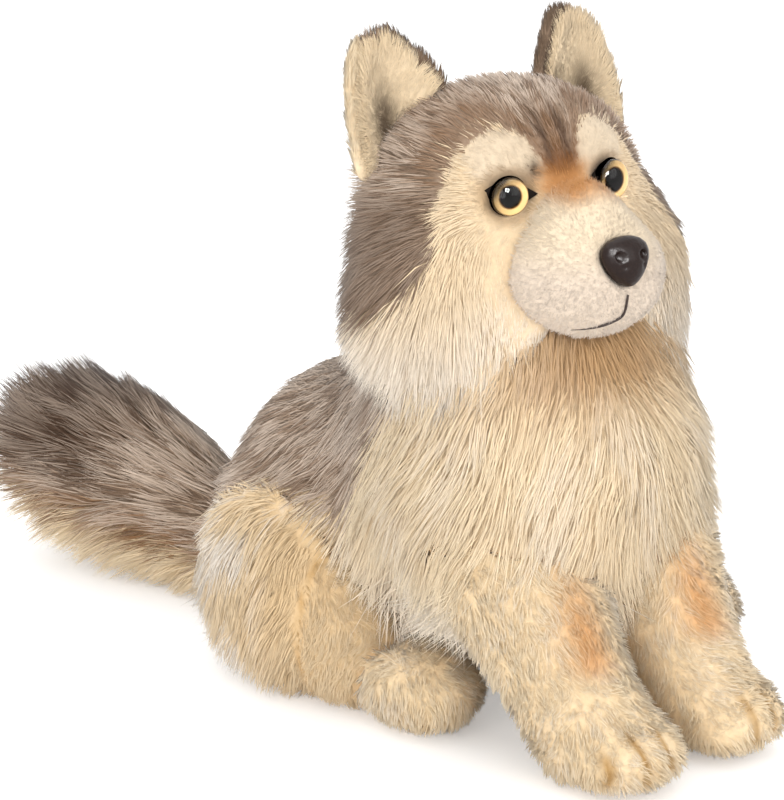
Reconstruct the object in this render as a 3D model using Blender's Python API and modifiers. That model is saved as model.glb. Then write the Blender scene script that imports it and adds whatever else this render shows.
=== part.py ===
"""A seated plush wolf, built as it is sewn: stuffed body, head, limbs and tail, with moulded eyes and nose.

The wolf faces -Y with +Z up, and its plane of symmetry is X = 0. Lengths are in metres.
Each stuffed piece is a soft form made of blended balls. Where two pieces are sewn together,
the lesser piece is hollowed by the greater one, with a seam gap between them.
"""

import math

import bmesh
import bpy
from mathutils import Matrix, Vector
from mathutils.bvhtree import BVHTree

COLLECTION_NAME = "plush_wolf"
CUTTER_COLLECTION_NAME = "plush_wolf_cutters"

# Seams and fineness of the soft forms
SEAM_GAP = 0.0003
CLOTH_VOXEL = 0.0105
FINE_VOXEL = 0.0070
SOFTENING = 0.5
SOFTENING_STEPS = 6
BALL_SUBDIVISIONS = 3
FLOOR_BLOCK = 1.0

# Torso
RUMP_WIDTH = 0.104
RUMP_LENGTH = 0.096
RUMP_HEIGHT = 0.114
RUMP_BACK = 0.030
FLOOR_PRESS = 0.0045
BARREL_WIDTH = 0.098
CHEST_WIDTH = 0.122
CHEST_LENGTH = 0.104
CHEST_HEIGHT = 0.110
CHEST_FORWARD = 0.052
CHEST_LIFT = 0.090
BARREL_AT = 0.5
NECK_WIDTH = 0.102
NECK_LENGTH = 0.088
NECK_HEIGHT = 0.066
NECK_FORWARD = 0.042
NECK_LIFT = 0.124

# Head, measured from its own centre
HEAD_WIDTH = 0.108
HEAD_LENGTH = 0.072
HEAD_HEIGHT = 0.084
HEAD_FORWARD = 0.038
HEAD_LIFT = 0.166
HEAD_TURN = math.radians(-7.0)
SKULL_BACK = 0.0043
SKULL_LIFT = 0.0064
BROW_WIDTH = 0.084
BROW_LENGTH = 0.042
BROW_HEIGHT = 0.050
BROW_FORWARD = 0.0100
BROW_LIFT = 0.0144
CHEEK_WIDTH = 0.068
CHEEK_LENGTH = 0.062
CHEEK_HEIGHT = 0.060
CHEEK_SPREAD = 0.0315
CHEEK_FORWARD = 0.0060
CHEEK_DROP = 0.018
RUFF_WIDTH = 0.112
RUFF_LENGTH = 0.066
RUFF_HEIGHT = 0.056
RUFF_FORWARD = 0.0160
RUFF_DROP = 0.036
MUZZLE_WIDTH = 0.060
MUZZLE_LENGTH = 0.050
MUZZLE_HEIGHT = 0.043
MUZZLE_FORWARD = 0.038
MUZZLE_DROP = 0.010
BRIDGE_WIDTH = 0.028
BRIDGE_LENGTH = 0.045
BRIDGE_HEIGHT = 0.024
BRIDGE_FORWARD = 0.0312
BRIDGE_LIFT = 0.0077
BRIDGE_SLOPE = math.radians(-24.0)

# Ears
EAR_WIDTH = 0.0445
EAR_HEIGHT = 0.032
EAR_ROOT = 0.014
EAR_CUP = 0.012
EAR_SPREAD = 0.0335
EAR_BACK_SHARE = 0.27
EAR_LIFT = 0.0035
EAR_TIP_AT = 0.95
EAR_SHOULDER = 0.45
EAR_BELLY = 0.30
EAR_SPLAY = math.radians(12.0)
EAR_FACING = math.radians(4.0)
EAR_LEAN = math.radians(8.0)
EAR_THICKNESS = 0.0050
LINING_THICKNESS = 0.0026
LINING_GAP = 0.0004
LINING_MARGIN = 0.0040

# Eyes
EYE_DIAMETER = 0.0128
EYE_SPREAD = 0.0205
EYE_LIFT = 0.0150
EYE_TURN = math.radians(16.0)
EYE_DOME_HEIGHT = 0.0044
EYE_RIM = 0.0004
IRIS_CUP_DEPTH = 0.0024
EYE_SHANK_DIAMETER = 0.0040
EYE_SHANK_LENGTH = 0.0110
EYE_WASHER_DIAMETER = 0.0120
EYE_WASHER_THICKNESS = 0.0014
EYE_WASHER_DEPTH = 0.0060
EYE_PATCH_LENGTH = 0.0200
EYE_PATCH_HEIGHT = 0.0135
EYE_PATCH_THICKNESS = 0.0010
EYE_PATCH_POINT = 1.6

# Nose and mouth
NOSE_WIDTH = 0.0190
NOSE_HEIGHT = 0.0165
NOSE_DEPTH = 0.0115
NOSE_LIFT = 0.0085
NOSE_PITCH = math.radians(14.0)
NOSE_NARROWING = 0.32
NOSE_WIDEST_AT = 0.4
NOSE_FLATTENING = 0.10
NOSTRIL_DIAMETER = 0.0034
NOSTRIL_SPREAD = 0.0042
NOSTRIL_DROP = 0.0020
NOSTRIL_FORWARD = 0.0054
NOSE_SHANK_DIAMETER = 0.0050
NOSE_SHANK_LENGTH = 0.0140
NOSE_WASHER_DIAMETER = 0.0150
NOSE_WASHER_THICKNESS = 0.0016
NOSE_WASHER_DEPTH = 0.0080
THREAD_DIAMETER = 0.0014
MOUTH_LENGTH = 0.015
MOUTH_SAG = 0.0035
MOUTH_TOP = 0.0102
PHILTRUM_LENGTH = 0.0080
THREAD_PITCH = 0.0025

# Forelegs
FORELEG_SPREAD = 0.028
SHOULDER_FORWARD = 0.060
SHOULDER_LIFT = 0.074
SHOULDER_THICKNESS = 0.060
WRIST_THICKNESS = 0.043
WRIST_AT = 0.80
LEG_STEPS = 4
PAW_WIDTH = 0.046
PAW_LENGTH = 0.052
PAW_HEIGHT = 0.034
PAW_REACH = 0.103
PAW_SPREAD = 0.0235
PAW_LIFT = 0.42
TOE_COUNT = 4
TOE_WIDTH = 0.0144
TOE_LENGTH = 0.0192
TOE_HEIGHT = 0.0208
TOE_SPREAD = 0.0193
TOE_REACH = 0.0250
TOE_ROUNDING = 0.0073
TOE_DROP = 0.0020
CREASE_WIDTH = 0.0016
CREASE_DEPTH = 0.0032

# Hind legs: the right foot is tucked in, the left one reaches out
HAUNCH_SPREAD = 0.040
HAUNCH_BACK = 0.024
HAUNCH_THICKNESS = 0.052
HAUNCH_LENGTH = 0.086
HAUNCH_HEIGHT = 0.084
KNEE_THICKNESS = 0.040
KNEE_LENGTH = 0.045
KNEE_HEIGHT = 0.056
KNEE_AT = 0.55
LAP_AT = 0.5
LAP_THICKNESS = 0.044
LAP_HEIGHT = 0.062
HIND_FOOT_WIDTH = 0.043
HIND_FOOT_LENGTH = 0.052
HIND_FOOT_HEIGHT = 0.034
HEEL_WIDTH = 0.037
HEEL_LENGTH = 0.043
HEEL_HEIGHT = 0.031
HEEL_BACK = 0.021
HEEL_IN = 0.0043
RIGHT_FOOT_SPREAD = 0.034
RIGHT_FOOT_REACH = 0.033
LEFT_FOOT_SPREAD = 0.086
LEFT_FOOT_REACH = 0.036

# Tail, which lies on the floor and swings a little to the wolf's right
TAIL_ROOT_THICKNESS = 0.044
TAIL_BRUSH_THICKNESS = 0.062
TAIL_TIP_THICKNESS = 0.056
TAIL_FULLEST_AT = 0.85
TAIL_SWELL = 3.0
TAIL_STEPS = 7
TAIL_OVAL = 1.15
TAIL_ROOT_BACK = 0.070
TAIL_LENGTH = 0.104
TAIL_SWING = math.radians(-9.0)
TAIL_TIP_LIFT = 0.017

SIDES = ((-1, "right"), (1, "left"))
TURNING_STEPS = 16

GREY_PILE = (0.36, 0.28, 0.22)
CREAM_PILE = (0.80, 0.62, 0.42)
TAN_PILE = (0.72, 0.52, 0.30)
CREAM_VELOUR = (0.82, 0.66, 0.46)
IRIS_GOLD = (0.55, 0.33, 0.06)
CLEAR_PLASTIC = (0.90, 0.88, 0.82)
BLACK_FELT = (0.015, 0.012, 0.010)
NOSE_BROWN = (0.035, 0.018, 0.012)
WASHER_WHITE = (0.80, 0.80, 0.78)
MOUTH_BROWN = (0.040, 0.020, 0.014)


def remove_everything():
    """Empty the scene of the objects that it starts with."""
    for thing in list(bpy.data.objects):
        bpy.data.objects.remove(thing, do_unlink=True)


def material(name, colour, roughness, coat=0.0):
    """A Principled material of one colour."""
    made = bpy.data.materials.new(name)
    made.use_nodes = True
    made.diffuse_color = (*colour, 1.0)
    shader = made.node_tree.nodes["Principled BSDF"]
    shader.inputs["Base Color"].default_value = (*colour, 1.0)
    shader.inputs["Roughness"].default_value = roughness
    shader.inputs["Coat Weight"].default_value = coat
    return made


class Finishes:
    """The cloths, plastics and thread that the wolf is made of."""

    def __init__(self):
        self.grey_pile = material("grey_pile", GREY_PILE, 0.95)
        self.cream_pile = material("cream_pile", CREAM_PILE, 0.95)
        self.tan_pile = material("tan_pile", TAN_PILE, 0.95)
        self.velour = material("cream_velour", CREAM_VELOUR, 0.90)
        self.iris = material("iris_gold", IRIS_GOLD, 0.30)
        self.lens = material("clear_plastic", CLEAR_PLASTIC, 0.05, coat=1.0)
        self.felt = material("black_felt", BLACK_FELT, 0.95)
        self.nose = material("nose_brown", NOSE_BROWN, 0.40, coat=0.3)
        self.washer = material("washer_white", WASHER_WHITE, 0.45)
        self.thread = material("mouth_brown", MOUTH_BROWN, 0.70)


def ball(centre, width, length, height, pitch=0.0):
    """One ball of a soft form: its centre, its full sizes along X, Y and Z and its turn about X."""
    sizes = Matrix.Diagonal((width / 2, length / 2, height / 2, 1.0))
    return Matrix.Translation(centre) @ Matrix.Rotation(pitch, 4, "X") @ sizes


def evaluated_mesh(thing):
    """The mesh of an object with its modifiers applied."""
    bpy.context.view_layer.update()
    graph = bpy.context.evaluated_depsgraph_get()
    return bpy.data.meshes.new_from_object(thing.evaluated_get(graph))


def mesh_from(body, name):
    """A new mesh from a bmesh, which is freed."""
    mesh = bpy.data.meshes.new(name)
    body.to_mesh(mesh)
    body.free()
    return mesh


def surface_of(mesh):
    """A tree that finds points on a mesh."""
    body = bmesh.new()
    body.from_mesh(mesh)
    tree = BVHTree.FromBMesh(body)
    body.free()
    return tree


def front_point(surface, across, up):
    """The point where a surface is met from in front of the face."""
    start = Vector((across, -1.0, up))
    return surface.ray_cast(start, Vector((0.0, 1.0, 0.0)))[0]


class Workshop:
    """The two collections of the model, and the helpers that fill them."""

    def __init__(self):
        self.parts = self.new_collection(COLLECTION_NAME)
        self.cutters = self.new_collection(CUTTER_COLLECTION_NAME)
        self.root = self.empty("wolf_frame", None, Matrix.Identity(4))
        self.floor = self.floor_cutter()

    def new_collection(self, name):
        """A collection under the scene's own."""
        collection = bpy.data.collections.new(name)
        bpy.context.scene.collection.children.link(collection)
        return collection

    def empty(self, name, parent, place):
        """A frame that pieces are parented to."""
        thing = bpy.data.objects.new(name, None)
        self.parts.objects.link(thing)
        thing.parent = parent
        thing.matrix_basis = place
        return thing

    def part(self, name, mesh, parent, finish, place=Matrix.Identity(4)):
        """A piece of the wolf, smooth-shaded and with its own finish."""
        thing = bpy.data.objects.new(name, mesh)
        self.parts.objects.link(thing)
        thing.parent = parent
        thing.matrix_basis = place
        mesh.materials.clear()
        mesh.materials.append(finish)
        mesh.shade_smooth()
        return thing

    def cutter(self, name, mesh, parent, place=Matrix.Identity(4)):
        """A hidden solid that hollows or joins the pieces."""
        thing = bpy.data.objects.new(name, mesh)
        self.cutters.objects.link(thing)
        thing.parent = parent
        thing.matrix_basis = place
        thing.hide_render = True
        thing.display_type = "WIRE"
        return thing

    def floor_cutter(self):
        """A block below the floor, which cuts flat whatever rests on it."""
        block = bmesh.new()
        bmesh.ops.create_cube(block, size=FLOOR_BLOCK)
        bmesh.ops.translate(block, vec=(0.0, 0.0, -FLOOR_BLOCK / 2), verts=block.verts)
        return self.cutter("floor_cutter", mesh_from(block, "floor_cutter"), self.root)

    def soft_form(self, name, balls, voxel):
        """The mesh of several balls blended into one soft closed form."""
        body = bmesh.new()
        for place in balls:
            bmesh.ops.create_icosphere(body, subdivisions=BALL_SUBDIVISIONS, radius=1.0, matrix=place)
        thing = self.cutter(name + "_balls", mesh_from(body, name + "_balls"), None)
        blend = thing.modifiers.new("blend", "REMESH")
        blend.mode = "VOXEL"
        blend.voxel_size = voxel
        soften = thing.modifiers.new("soften", "SMOOTH")
        soften.factor = SOFTENING
        soften.iterations = SOFTENING_STEPS
        thing.modifiers.new("facets", "TRIANGULATE")
        form = evaluated_mesh(thing)
        form.name = name
        bpy.data.objects.remove(thing, do_unlink=True)
        return form

    def grown(self, name, form, parent, place=Matrix.Identity(4)):
        """A form grown by the seam gap, to hollow the pieces that are sewn to it."""
        thing = self.cutter(name + "_seam", form.copy(), parent, place)
        grow = thing.modifiers.new("gap", "DISPLACE")
        grow.strength = SEAM_GAP
        grow.mid_level = 0.0
        return thing

    def turned(self, name, profile, steps=TURNING_STEPS):
        """A turned solid: the profile's (radius, height) points run down its outer side."""
        body = bmesh.new()
        points = [body.verts.new((radius, 0.0, height)) for radius, height in profile]
        for first, second in zip(points, points[1:]):
            body.edges.new((first, second))
        thing = self.cutter(name + "_profile", mesh_from(body, name + "_profile"), None)
        turn = thing.modifiers.new("turn", "SCREW")
        turn.steps = steps
        turn.render_steps = steps
        turn.use_merge_vertices = True
        turn.merge_threshold = 0.00001
        mesh = evaluated_mesh(thing)
        mesh.name = name
        bpy.data.objects.remove(thing, do_unlink=True)
        return mesh


def cut(piece, *cutters):
    """Hollow a piece by each of the cutters."""
    for cutter in cutters:
        hollow = piece.modifiers.new("cut_by_" + cutter.name, "BOOLEAN")
        hollow.operation = "DIFFERENCE"
        hollow.solver = "EXACT"
        hollow.object = cutter


def join(piece, added):
    """Fuse another solid to a piece."""
    fuse = piece.modifiers.new("join_" + added.name, "BOOLEAN")
    fuse.operation = "UNION"
    fuse.solver = "EXACT"
    fuse.object = added


def torso_balls():
    """Rump, barrel, chest and neck."""
    rump = Vector((0.0, RUMP_BACK, RUMP_HEIGHT / 2 - FLOOR_PRESS))
    chest = Vector((0.0, -CHEST_FORWARD, CHEST_LIFT))
    neck = Vector((0.0, -NECK_FORWARD, NECK_LIFT))
    return [
        ball(rump, RUMP_WIDTH, RUMP_LENGTH, RUMP_HEIGHT),
        ball(rump.lerp(chest, BARREL_AT), BARREL_WIDTH, RUMP_LENGTH, RUMP_HEIGHT),
        ball(chest, CHEST_WIDTH, CHEST_LENGTH, CHEST_HEIGHT),
        ball(neck, NECK_WIDTH, NECK_LENGTH, NECK_HEIGHT),
    ]


def head_balls():
    """Skull, brow, ruff and two cheeks, in the head's own frame."""
    balls = [
        ball((0.0, SKULL_BACK, SKULL_LIFT), HEAD_WIDTH, HEAD_LENGTH, HEAD_HEIGHT),
        ball((0.0, -BROW_FORWARD, BROW_LIFT), BROW_WIDTH, BROW_LENGTH, BROW_HEIGHT),
        ball((0.0, -RUFF_FORWARD, -RUFF_DROP), RUFF_WIDTH, RUFF_LENGTH, RUFF_HEIGHT),
    ]
    for side, _ in SIDES:
        cheek = (side * CHEEK_SPREAD, -CHEEK_FORWARD, -CHEEK_DROP)
        balls.append(ball(cheek, CHEEK_WIDTH, CHEEK_LENGTH, CHEEK_HEIGHT))
    return balls


def muzzle_balls():
    """The pouch of the muzzle and its bridge up to the brow."""
    pouch = (0.0, -MUZZLE_FORWARD, -MUZZLE_DROP)
    bridge = (0.0, -BRIDGE_FORWARD, BRIDGE_LIFT)
    return [
        ball(pouch, MUZZLE_WIDTH, MUZZLE_LENGTH, MUZZLE_HEIGHT),
        ball(bridge, BRIDGE_WIDTH, BRIDGE_LENGTH, BRIDGE_HEIGHT, pitch=BRIDGE_SLOPE),
    ]


def paw_place(side):
    """The middle of a forepaw."""
    return Vector((side * PAW_SPREAD, -PAW_REACH, PAW_HEIGHT * PAW_LIFT))


def toe_reach(across):
    """How far the toes reach in front of the paw's middle, with across from -1 to 1 over the paw's width."""
    return TOE_REACH - TOE_ROUNDING * across * across


def foreleg_balls(side):
    """A leg from the shoulder to the paw, with its toes."""
    shoulder = Vector((side * FORELEG_SPREAD, -SHOULDER_FORWARD, SHOULDER_LIFT))
    paw = paw_place(side)
    wrist = shoulder.lerp(paw, WRIST_AT)
    balls = []
    for step in range(LEG_STEPS + 1):
        along = step / LEG_STEPS
        thick = SHOULDER_THICKNESS + (WRIST_THICKNESS - SHOULDER_THICKNESS) * along
        balls.append(ball(shoulder.lerp(wrist, along), thick, thick, thick))
    balls.append(ball(paw, PAW_WIDTH, PAW_LENGTH, PAW_HEIGHT))
    for toe in range(TOE_COUNT):
        across = (2 * toe + 1) / TOE_COUNT - 1
        centre = paw + Vector((across * TOE_SPREAD, -toe_reach(across), -TOE_DROP))
        balls.append(ball(centre, TOE_WIDTH, TOE_LENGTH, TOE_HEIGHT))
    return balls


def toe_creases(shop, side, word):
    """Thin upright discs between the toes, which crease the front of a forepaw."""
    discs = bmesh.new()
    for crease in range(1, TOE_COUNT):
        across = 2 * crease / TOE_COUNT - 1
        ahead = toe_reach(across) + TOE_LENGTH / 2 + TOE_HEIGHT / 2 - CREASE_DEPTH
        middle = paw_place(side) + Vector((across * TOE_SPREAD, -ahead, -TOE_DROP))
        bmesh.ops.create_cone(
            discs,
            cap_ends=True,
            segments=TURNING_STEPS,
            radius1=TOE_HEIGHT / 2 + CREASE_DEPTH,
            radius2=TOE_HEIGHT / 2 + CREASE_DEPTH,
            depth=CREASE_WIDTH,
            matrix=Matrix.Translation(middle) @ Matrix.Rotation(math.radians(90.0), 4, "Y"),
        )
    return shop.cutter("toe_creases_" + word, mesh_from(discs, "toe_creases"), shop.root)


def hind_foot_place(side):
    """The middle of a hind foot."""
    spread, reach = (LEFT_FOOT_SPREAD, LEFT_FOOT_REACH) if side > 0 else (RIGHT_FOOT_SPREAD, RIGHT_FOOT_REACH)
    return Vector((side * spread, -reach, HIND_FOOT_HEIGHT * PAW_LIFT))


def haunch_balls(side):
    """A thigh folded beside the sitting body, and the knee between it and the foot."""
    thigh = Vector((side * HAUNCH_SPREAD, HAUNCH_BACK, HAUNCH_HEIGHT / 2 - FLOOR_PRESS))
    knee = thigh.lerp(hind_foot_place(side), KNEE_AT)
    knee.z = KNEE_HEIGHT / 2 - FLOOR_PRESS
    return [
        ball(thigh, HAUNCH_THICKNESS, HAUNCH_LENGTH, HAUNCH_HEIGHT),
        ball(thigh.lerp(knee, LAP_AT), LAP_THICKNESS, LAP_HEIGHT, LAP_HEIGHT),
        ball(knee, KNEE_THICKNESS, KNEE_LENGTH, KNEE_HEIGHT),
    ]


def hind_foot_balls(side):
    """A hind foot with its heel under the knee."""
    foot = hind_foot_place(side)
    heel = foot + Vector((-side * HEEL_IN, HEEL_BACK, 0.0))
    return [
        ball(foot, HIND_FOOT_WIDTH, HIND_FOOT_LENGTH, HIND_FOOT_HEIGHT),
        ball(heel, HEEL_WIDTH, HEEL_LENGTH, HEEL_HEIGHT),
    ]


def tail_balls():
    """A brush of a tail on the floor: narrow at its root, full before its tip."""
    balls = []
    for step in range(TAIL_STEPS + 1):
        along = step / TAIL_STEPS
        swell = math.sin(math.pi * min(along / TAIL_FULLEST_AT, 1.0) / 2) ** TAIL_SWELL
        thick = TAIL_ROOT_THICKNESS + (TAIL_BRUSH_THICKNESS - TAIL_ROOT_THICKNESS) * swell
        if along > TAIL_FULLEST_AT:
            beyond = (along - TAIL_FULLEST_AT) / (1 - TAIL_FULLEST_AT)
            thick += (TAIL_TIP_THICKNESS - TAIL_BRUSH_THICKNESS) * beyond**2
        bend = TAIL_SWING * along
        run = TAIL_LENGTH * along
        centre = (
            math.sin(bend) * run,
            TAIL_ROOT_BACK + math.cos(bend) * run,
            thick / 2 - FLOOR_PRESS / 2 + TAIL_TIP_LIFT * along**3,
        )
        balls.append(ball(centre, thick, thick * TAIL_OVAL, thick))
    return balls


def ear_sheet(width, height, name):
    """A cupped sheet with the ear's rounded outline, standing on its root with its hollow towards -Y."""
    columns, rows = 4, 4
    sheet = bmesh.new()
    bmesh.ops.create_grid(sheet, x_segments=columns, y_segments=rows, size=0.5)
    for point in sheet.verts:
        across = point.co.x * 2
        up = (point.co.y + 0.5) * EAR_TIP_AT
        rise = -EAR_ROOT + (height + EAR_ROOT) * up
        outline = (1 - up) ** EAR_SHOULDER * (1 + EAR_BELLY * up)
        reach = across * width / 2 * outline
        depth = -EAR_CUP * (2 * reach / EAR_WIDTH) ** 2
        point.co = (reach, depth, rise)
    return mesh_from(sheet, name)


def ear_layer(shop, name, width, height, thickness, forward, finish, parent):
    """One cloth layer of an ear: forward is 0 for a wall about the sheet, 1 for one in front of the ear's back."""
    layer = shop.part(name, ear_sheet(width, height, name), parent, finish)
    stand_off = layer.modifiers.new("stand_off", "DISPLACE")
    stand_off.strength = forward * (EAR_THICKNESS / 2 + LINING_GAP)
    stand_off.mid_level = 0.0
    wall = layer.modifiers.new("cloth", "SOLIDIFY")
    wall.thickness = thickness
    wall.offset = forward
    rounding = layer.modifiers.new("rounding", "SUBSURF")
    rounding.levels = 1
    rounding.render_levels = 1
    return layer


def build_ear(shop, finishes, head, head_seam, side, word):
    """The grey back of an ear and its cream lining, both seated on the head."""
    root = (side * EAR_SPREAD, HEAD_LENGTH * EAR_BACK_SHARE, HEAD_HEIGHT / 2 + EAR_LIFT - EAR_ROOT)
    place = (
        Matrix.Translation(root)
        @ Matrix.Rotation(side * EAR_SPLAY, 4, "Y")
        @ Matrix.Rotation(side * EAR_FACING, 4, "Z")
        @ Matrix.Rotation(-EAR_LEAN, 4, "X")
    )
    frame = shop.empty("ear_frame_" + word, head, place)
    back = ear_layer(
        shop, "ear_back_" + word, EAR_WIDTH, EAR_HEIGHT, EAR_THICKNESS, 0.0, finishes.grey_pile, frame
    )
    cut(back, head_seam)
    lining = ear_layer(
        shop,
        "ear_lining_" + word,
        EAR_WIDTH - 2 * LINING_MARGIN,
        EAR_HEIGHT - LINING_MARGIN,
        LINING_THICKNESS,
        1.0,
        finishes.velour,
        frame,
    )
    cut(lining, head_seam)


def lens_profile():
    """A clear dome with a flat back."""
    radius = EYE_DIAMETER / 2
    steps = 6
    arc = [(radius * math.sin(math.pi / 2 * i / steps), EYE_DOME_HEIGHT * math.cos(math.pi / 2 * i / steps))
           for i in range(steps + 1)]
    return arc + [(radius, -EYE_RIM), (0.0, -EYE_RIM)]


def iris_profile():
    """A painted cup under the dome, with its shank."""
    rim = EYE_DIAMETER / 2 + EYE_RIM
    top = -EYE_RIM - SEAM_GAP
    foot = top - IRIS_CUP_DEPTH
    shank = EYE_SHANK_DIAMETER / 2
    end = foot - EYE_SHANK_LENGTH
    return [(0.0, top), (rim, top), (rim, top - EYE_RIM), (rim * 0.80, foot), (shank, foot),
            (shank, end + shank / 2), (shank / 2, end), (0.0, end)]


def washer_profile(outer, bore, thickness, top):
    """A flat ring, from its bore over its rim and back to its bore."""
    return [(bore, top), (outer, top), (outer, top - thickness), (bore, top - thickness), (bore, top)]


def almond(length, height, thickness, hole, name):
    """A pointed oval of felt with a round hole, as two crossing arcs about a ring."""
    outline = bmesh.new()
    steps = 8
    rings = []
    for level in (thickness / 2, -thickness / 2):
        rim, bore = [], []
        for i in range(2 * steps):
            angle = math.pi * i / steps
            reach = math.cos(angle)
            lobe = math.copysign(1 - abs(reach) ** EYE_PATCH_POINT, math.sin(angle)) if 0 < i % steps else 0.0
            rim.append(outline.verts.new((reach * length / 2, lobe * height / 2, level)))
            bore.append(outline.verts.new((math.cos(angle) * hole, math.sin(angle) * hole, level)))
        rings.append((rim, bore))
    (rim_top, bore_top), (rim_low, bore_low) = rings
    for i in range(2 * steps):
        j = (i + 1) % (2 * steps)
        outline.faces.new((bore_top[i], rim_top[i], rim_top[j], bore_top[j]))
        outline.faces.new((bore_low[j], rim_low[j], rim_low[i], bore_low[i]))
        outline.faces.new((rim_low[i], rim_low[j], rim_top[j], rim_top[i]))
        outline.faces.new((bore_low[j], bore_low[i], bore_top[i], bore_top[j]))
    return mesh_from(outline, name)


def build_eye(shop, finishes, head, head_surface, side, word):
    """A moulded eye: its dome, its cup and shank, the felt under it and the washer behind the cloth."""
    seat = front_point(head_surface, side * EYE_SPREAD, EYE_LIFT)
    place = (
        Matrix.Translation(seat)
        @ Matrix.Rotation(side * EYE_TURN, 4, "Z")
        @ Matrix.Rotation(math.radians(90.0), 4, "X")
    )
    frame = shop.empty("eye_frame_" + word, head, place)
    shop.part("eye_lens_" + word, shop.turned("eye_lens", lens_profile()), frame, finishes.lens)
    shop.part("eye_iris_" + word, shop.turned("eye_iris", iris_profile()), frame, finishes.iris)
    cup_foot = -EYE_RIM - SEAM_GAP - IRIS_CUP_DEPTH
    bore = EYE_SHANK_DIAMETER / 2 + SEAM_GAP
    felt_top = cup_foot - SEAM_GAP
    felt = almond(EYE_PATCH_LENGTH, EYE_PATCH_HEIGHT, EYE_PATCH_THICKNESS, bore, "eye_patch")
    felt_place = Matrix.Translation((0.0, 0.0, felt_top - EYE_PATCH_THICKNESS / 2))
    shop.part("eye_patch_" + word, felt, frame, finishes.felt, felt_place)
    washer_top = felt_top - EYE_PATCH_THICKNESS - EYE_WASHER_DEPTH
    ring = washer_profile(EYE_WASHER_DIAMETER / 2, bore, EYE_WASHER_THICKNESS, washer_top)
    shop.part("eye_washer_" + word, shop.turned("eye_washer", ring), frame, finishes.washer)
    return eye_socket(shop, frame, word, felt_top, washer_top, bore)


def eye_socket(shop, frame, word, felt_top, washer_top, bore):
    """The room that an eye takes out of the head: felt and cup in front, shank and washer behind."""
    felt_foot = felt_top - EYE_PATCH_THICKNESS - SEAM_GAP
    open_front = EYE_DOME_HEIGHT * 6
    felt_room = bmesh.new()
    bmesh.ops.create_cone(
        felt_room,
        cap_ends=True,
        segments=TURNING_STEPS,
        radius1=0.5,
        radius2=0.5,
        depth=open_front - felt_foot,
        matrix=Matrix.Translation((0.0, 0.0, (open_front + felt_foot) / 2)),
    )
    for point in felt_room.verts:
        point.co.x *= EYE_PATCH_LENGTH + 2 * SEAM_GAP
        point.co.y *= EYE_PATCH_HEIGHT + 2 * SEAM_GAP
    room = shop.cutter("eye_room_" + word, mesh_from(felt_room, "eye_room"), frame)
    slot = EYE_WASHER_DIAMETER / 2 + SEAM_GAP
    slot_top = washer_top + SEAM_GAP
    slot_foot = washer_top - EYE_WASHER_THICKNESS - SEAM_GAP
    shank_foot = -EYE_RIM - SEAM_GAP - IRIS_CUP_DEPTH - EYE_SHANK_LENGTH - SEAM_GAP
    profile = [(0.0, felt_foot + SEAM_GAP), (bore, felt_foot + SEAM_GAP), (bore, slot_top), (slot, slot_top),
               (slot, slot_foot), (bore, slot_foot), (bore, shank_foot), (0.0, shank_foot)]
    bore_cutter = shop.cutter("eye_bore_" + word, shop.turned("eye_bore", profile), frame)
    return room, bore_cutter


def nose_pad():
    """The pad of the nose: a ball that narrows downwards to a rounded triangle."""
    pad = bmesh.new()
    bmesh.ops.create_uvsphere(pad, u_segments=TURNING_STEPS, v_segments=10, radius=0.5)
    for point in pad.verts:
        narrow = 1 + NOSE_NARROWING * (point.co.z * 2 - NOSE_WIDEST_AT)
        flat_top = point.co.z - NOSE_FLATTENING * max(point.co.z, 0.0) ** 2
        point.co = (point.co.x * NOSE_WIDTH * narrow, point.co.y * NOSE_DEPTH, flat_top * NOSE_HEIGHT)
    return mesh_from(pad, "nose")


def build_nose(shop, finishes, head, muzzle_surface):
    """The moulded nose with its nostrils and shank, its washer and the room they take in the muzzle."""
    seat = front_point(muzzle_surface, 0.0, -MUZZLE_DROP + NOSE_LIFT)
    place = Matrix.Translation(seat) @ Matrix.Rotation(-NOSE_PITCH, 4, "X")
    frame = shop.empty("nose_frame", head, place)
    nose = shop.part("nose", nose_pad(), frame, finishes.nose)
    seam = shop.grown("nose", nose.data, frame)
    for side, word in SIDES:
        dimple = bmesh.new()
        spot = Vector((side * NOSTRIL_SPREAD, -NOSTRIL_FORWARD, -NOSTRIL_DROP))
        bmesh.ops.create_uvsphere(
            dimple, u_segments=10, v_segments=6, radius=NOSTRIL_DIAMETER / 2, matrix=Matrix.Translation(spot)
        )
        cut(nose, shop.cutter("nostril_" + word, mesh_from(dimple, "nostril"), frame))
    lying = Matrix.Rotation(math.radians(90.0), 4, "X")
    shank = NOSE_SHANK_DIAMETER / 2
    core = [(0.0, 0.0), (shank, 0.0), (shank, -NOSE_SHANK_LENGTH), (0.0, -NOSE_SHANK_LENGTH)]
    join(nose, shop.cutter("nose_shank", shop.turned("nose_shank", core), frame, lying))
    bore = shank + SEAM_GAP
    top = -NOSE_WASHER_DEPTH
    foot = top - NOSE_WASHER_THICKNESS
    ring = washer_profile(NOSE_WASHER_DIAMETER / 2, bore, NOSE_WASHER_THICKNESS, top)
    shop.part("nose_washer", shop.turned("nose_washer", ring), frame, finishes.washer, lying)
    slot = NOSE_WASHER_DIAMETER / 2 + SEAM_GAP
    end = -NOSE_SHANK_LENGTH - SEAM_GAP
    room = [(0.0, 0.0), (bore, 0.0), (bore, top + SEAM_GAP), (slot, top + SEAM_GAP),
            (slot, foot - SEAM_GAP), (bore, foot - SEAM_GAP), (bore, end), (0.0, end)]
    bore_cutter = shop.cutter("nose_bore", shop.turned("nose_bore", room), frame, lying)
    return seam, bore_cutter, seat


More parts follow.
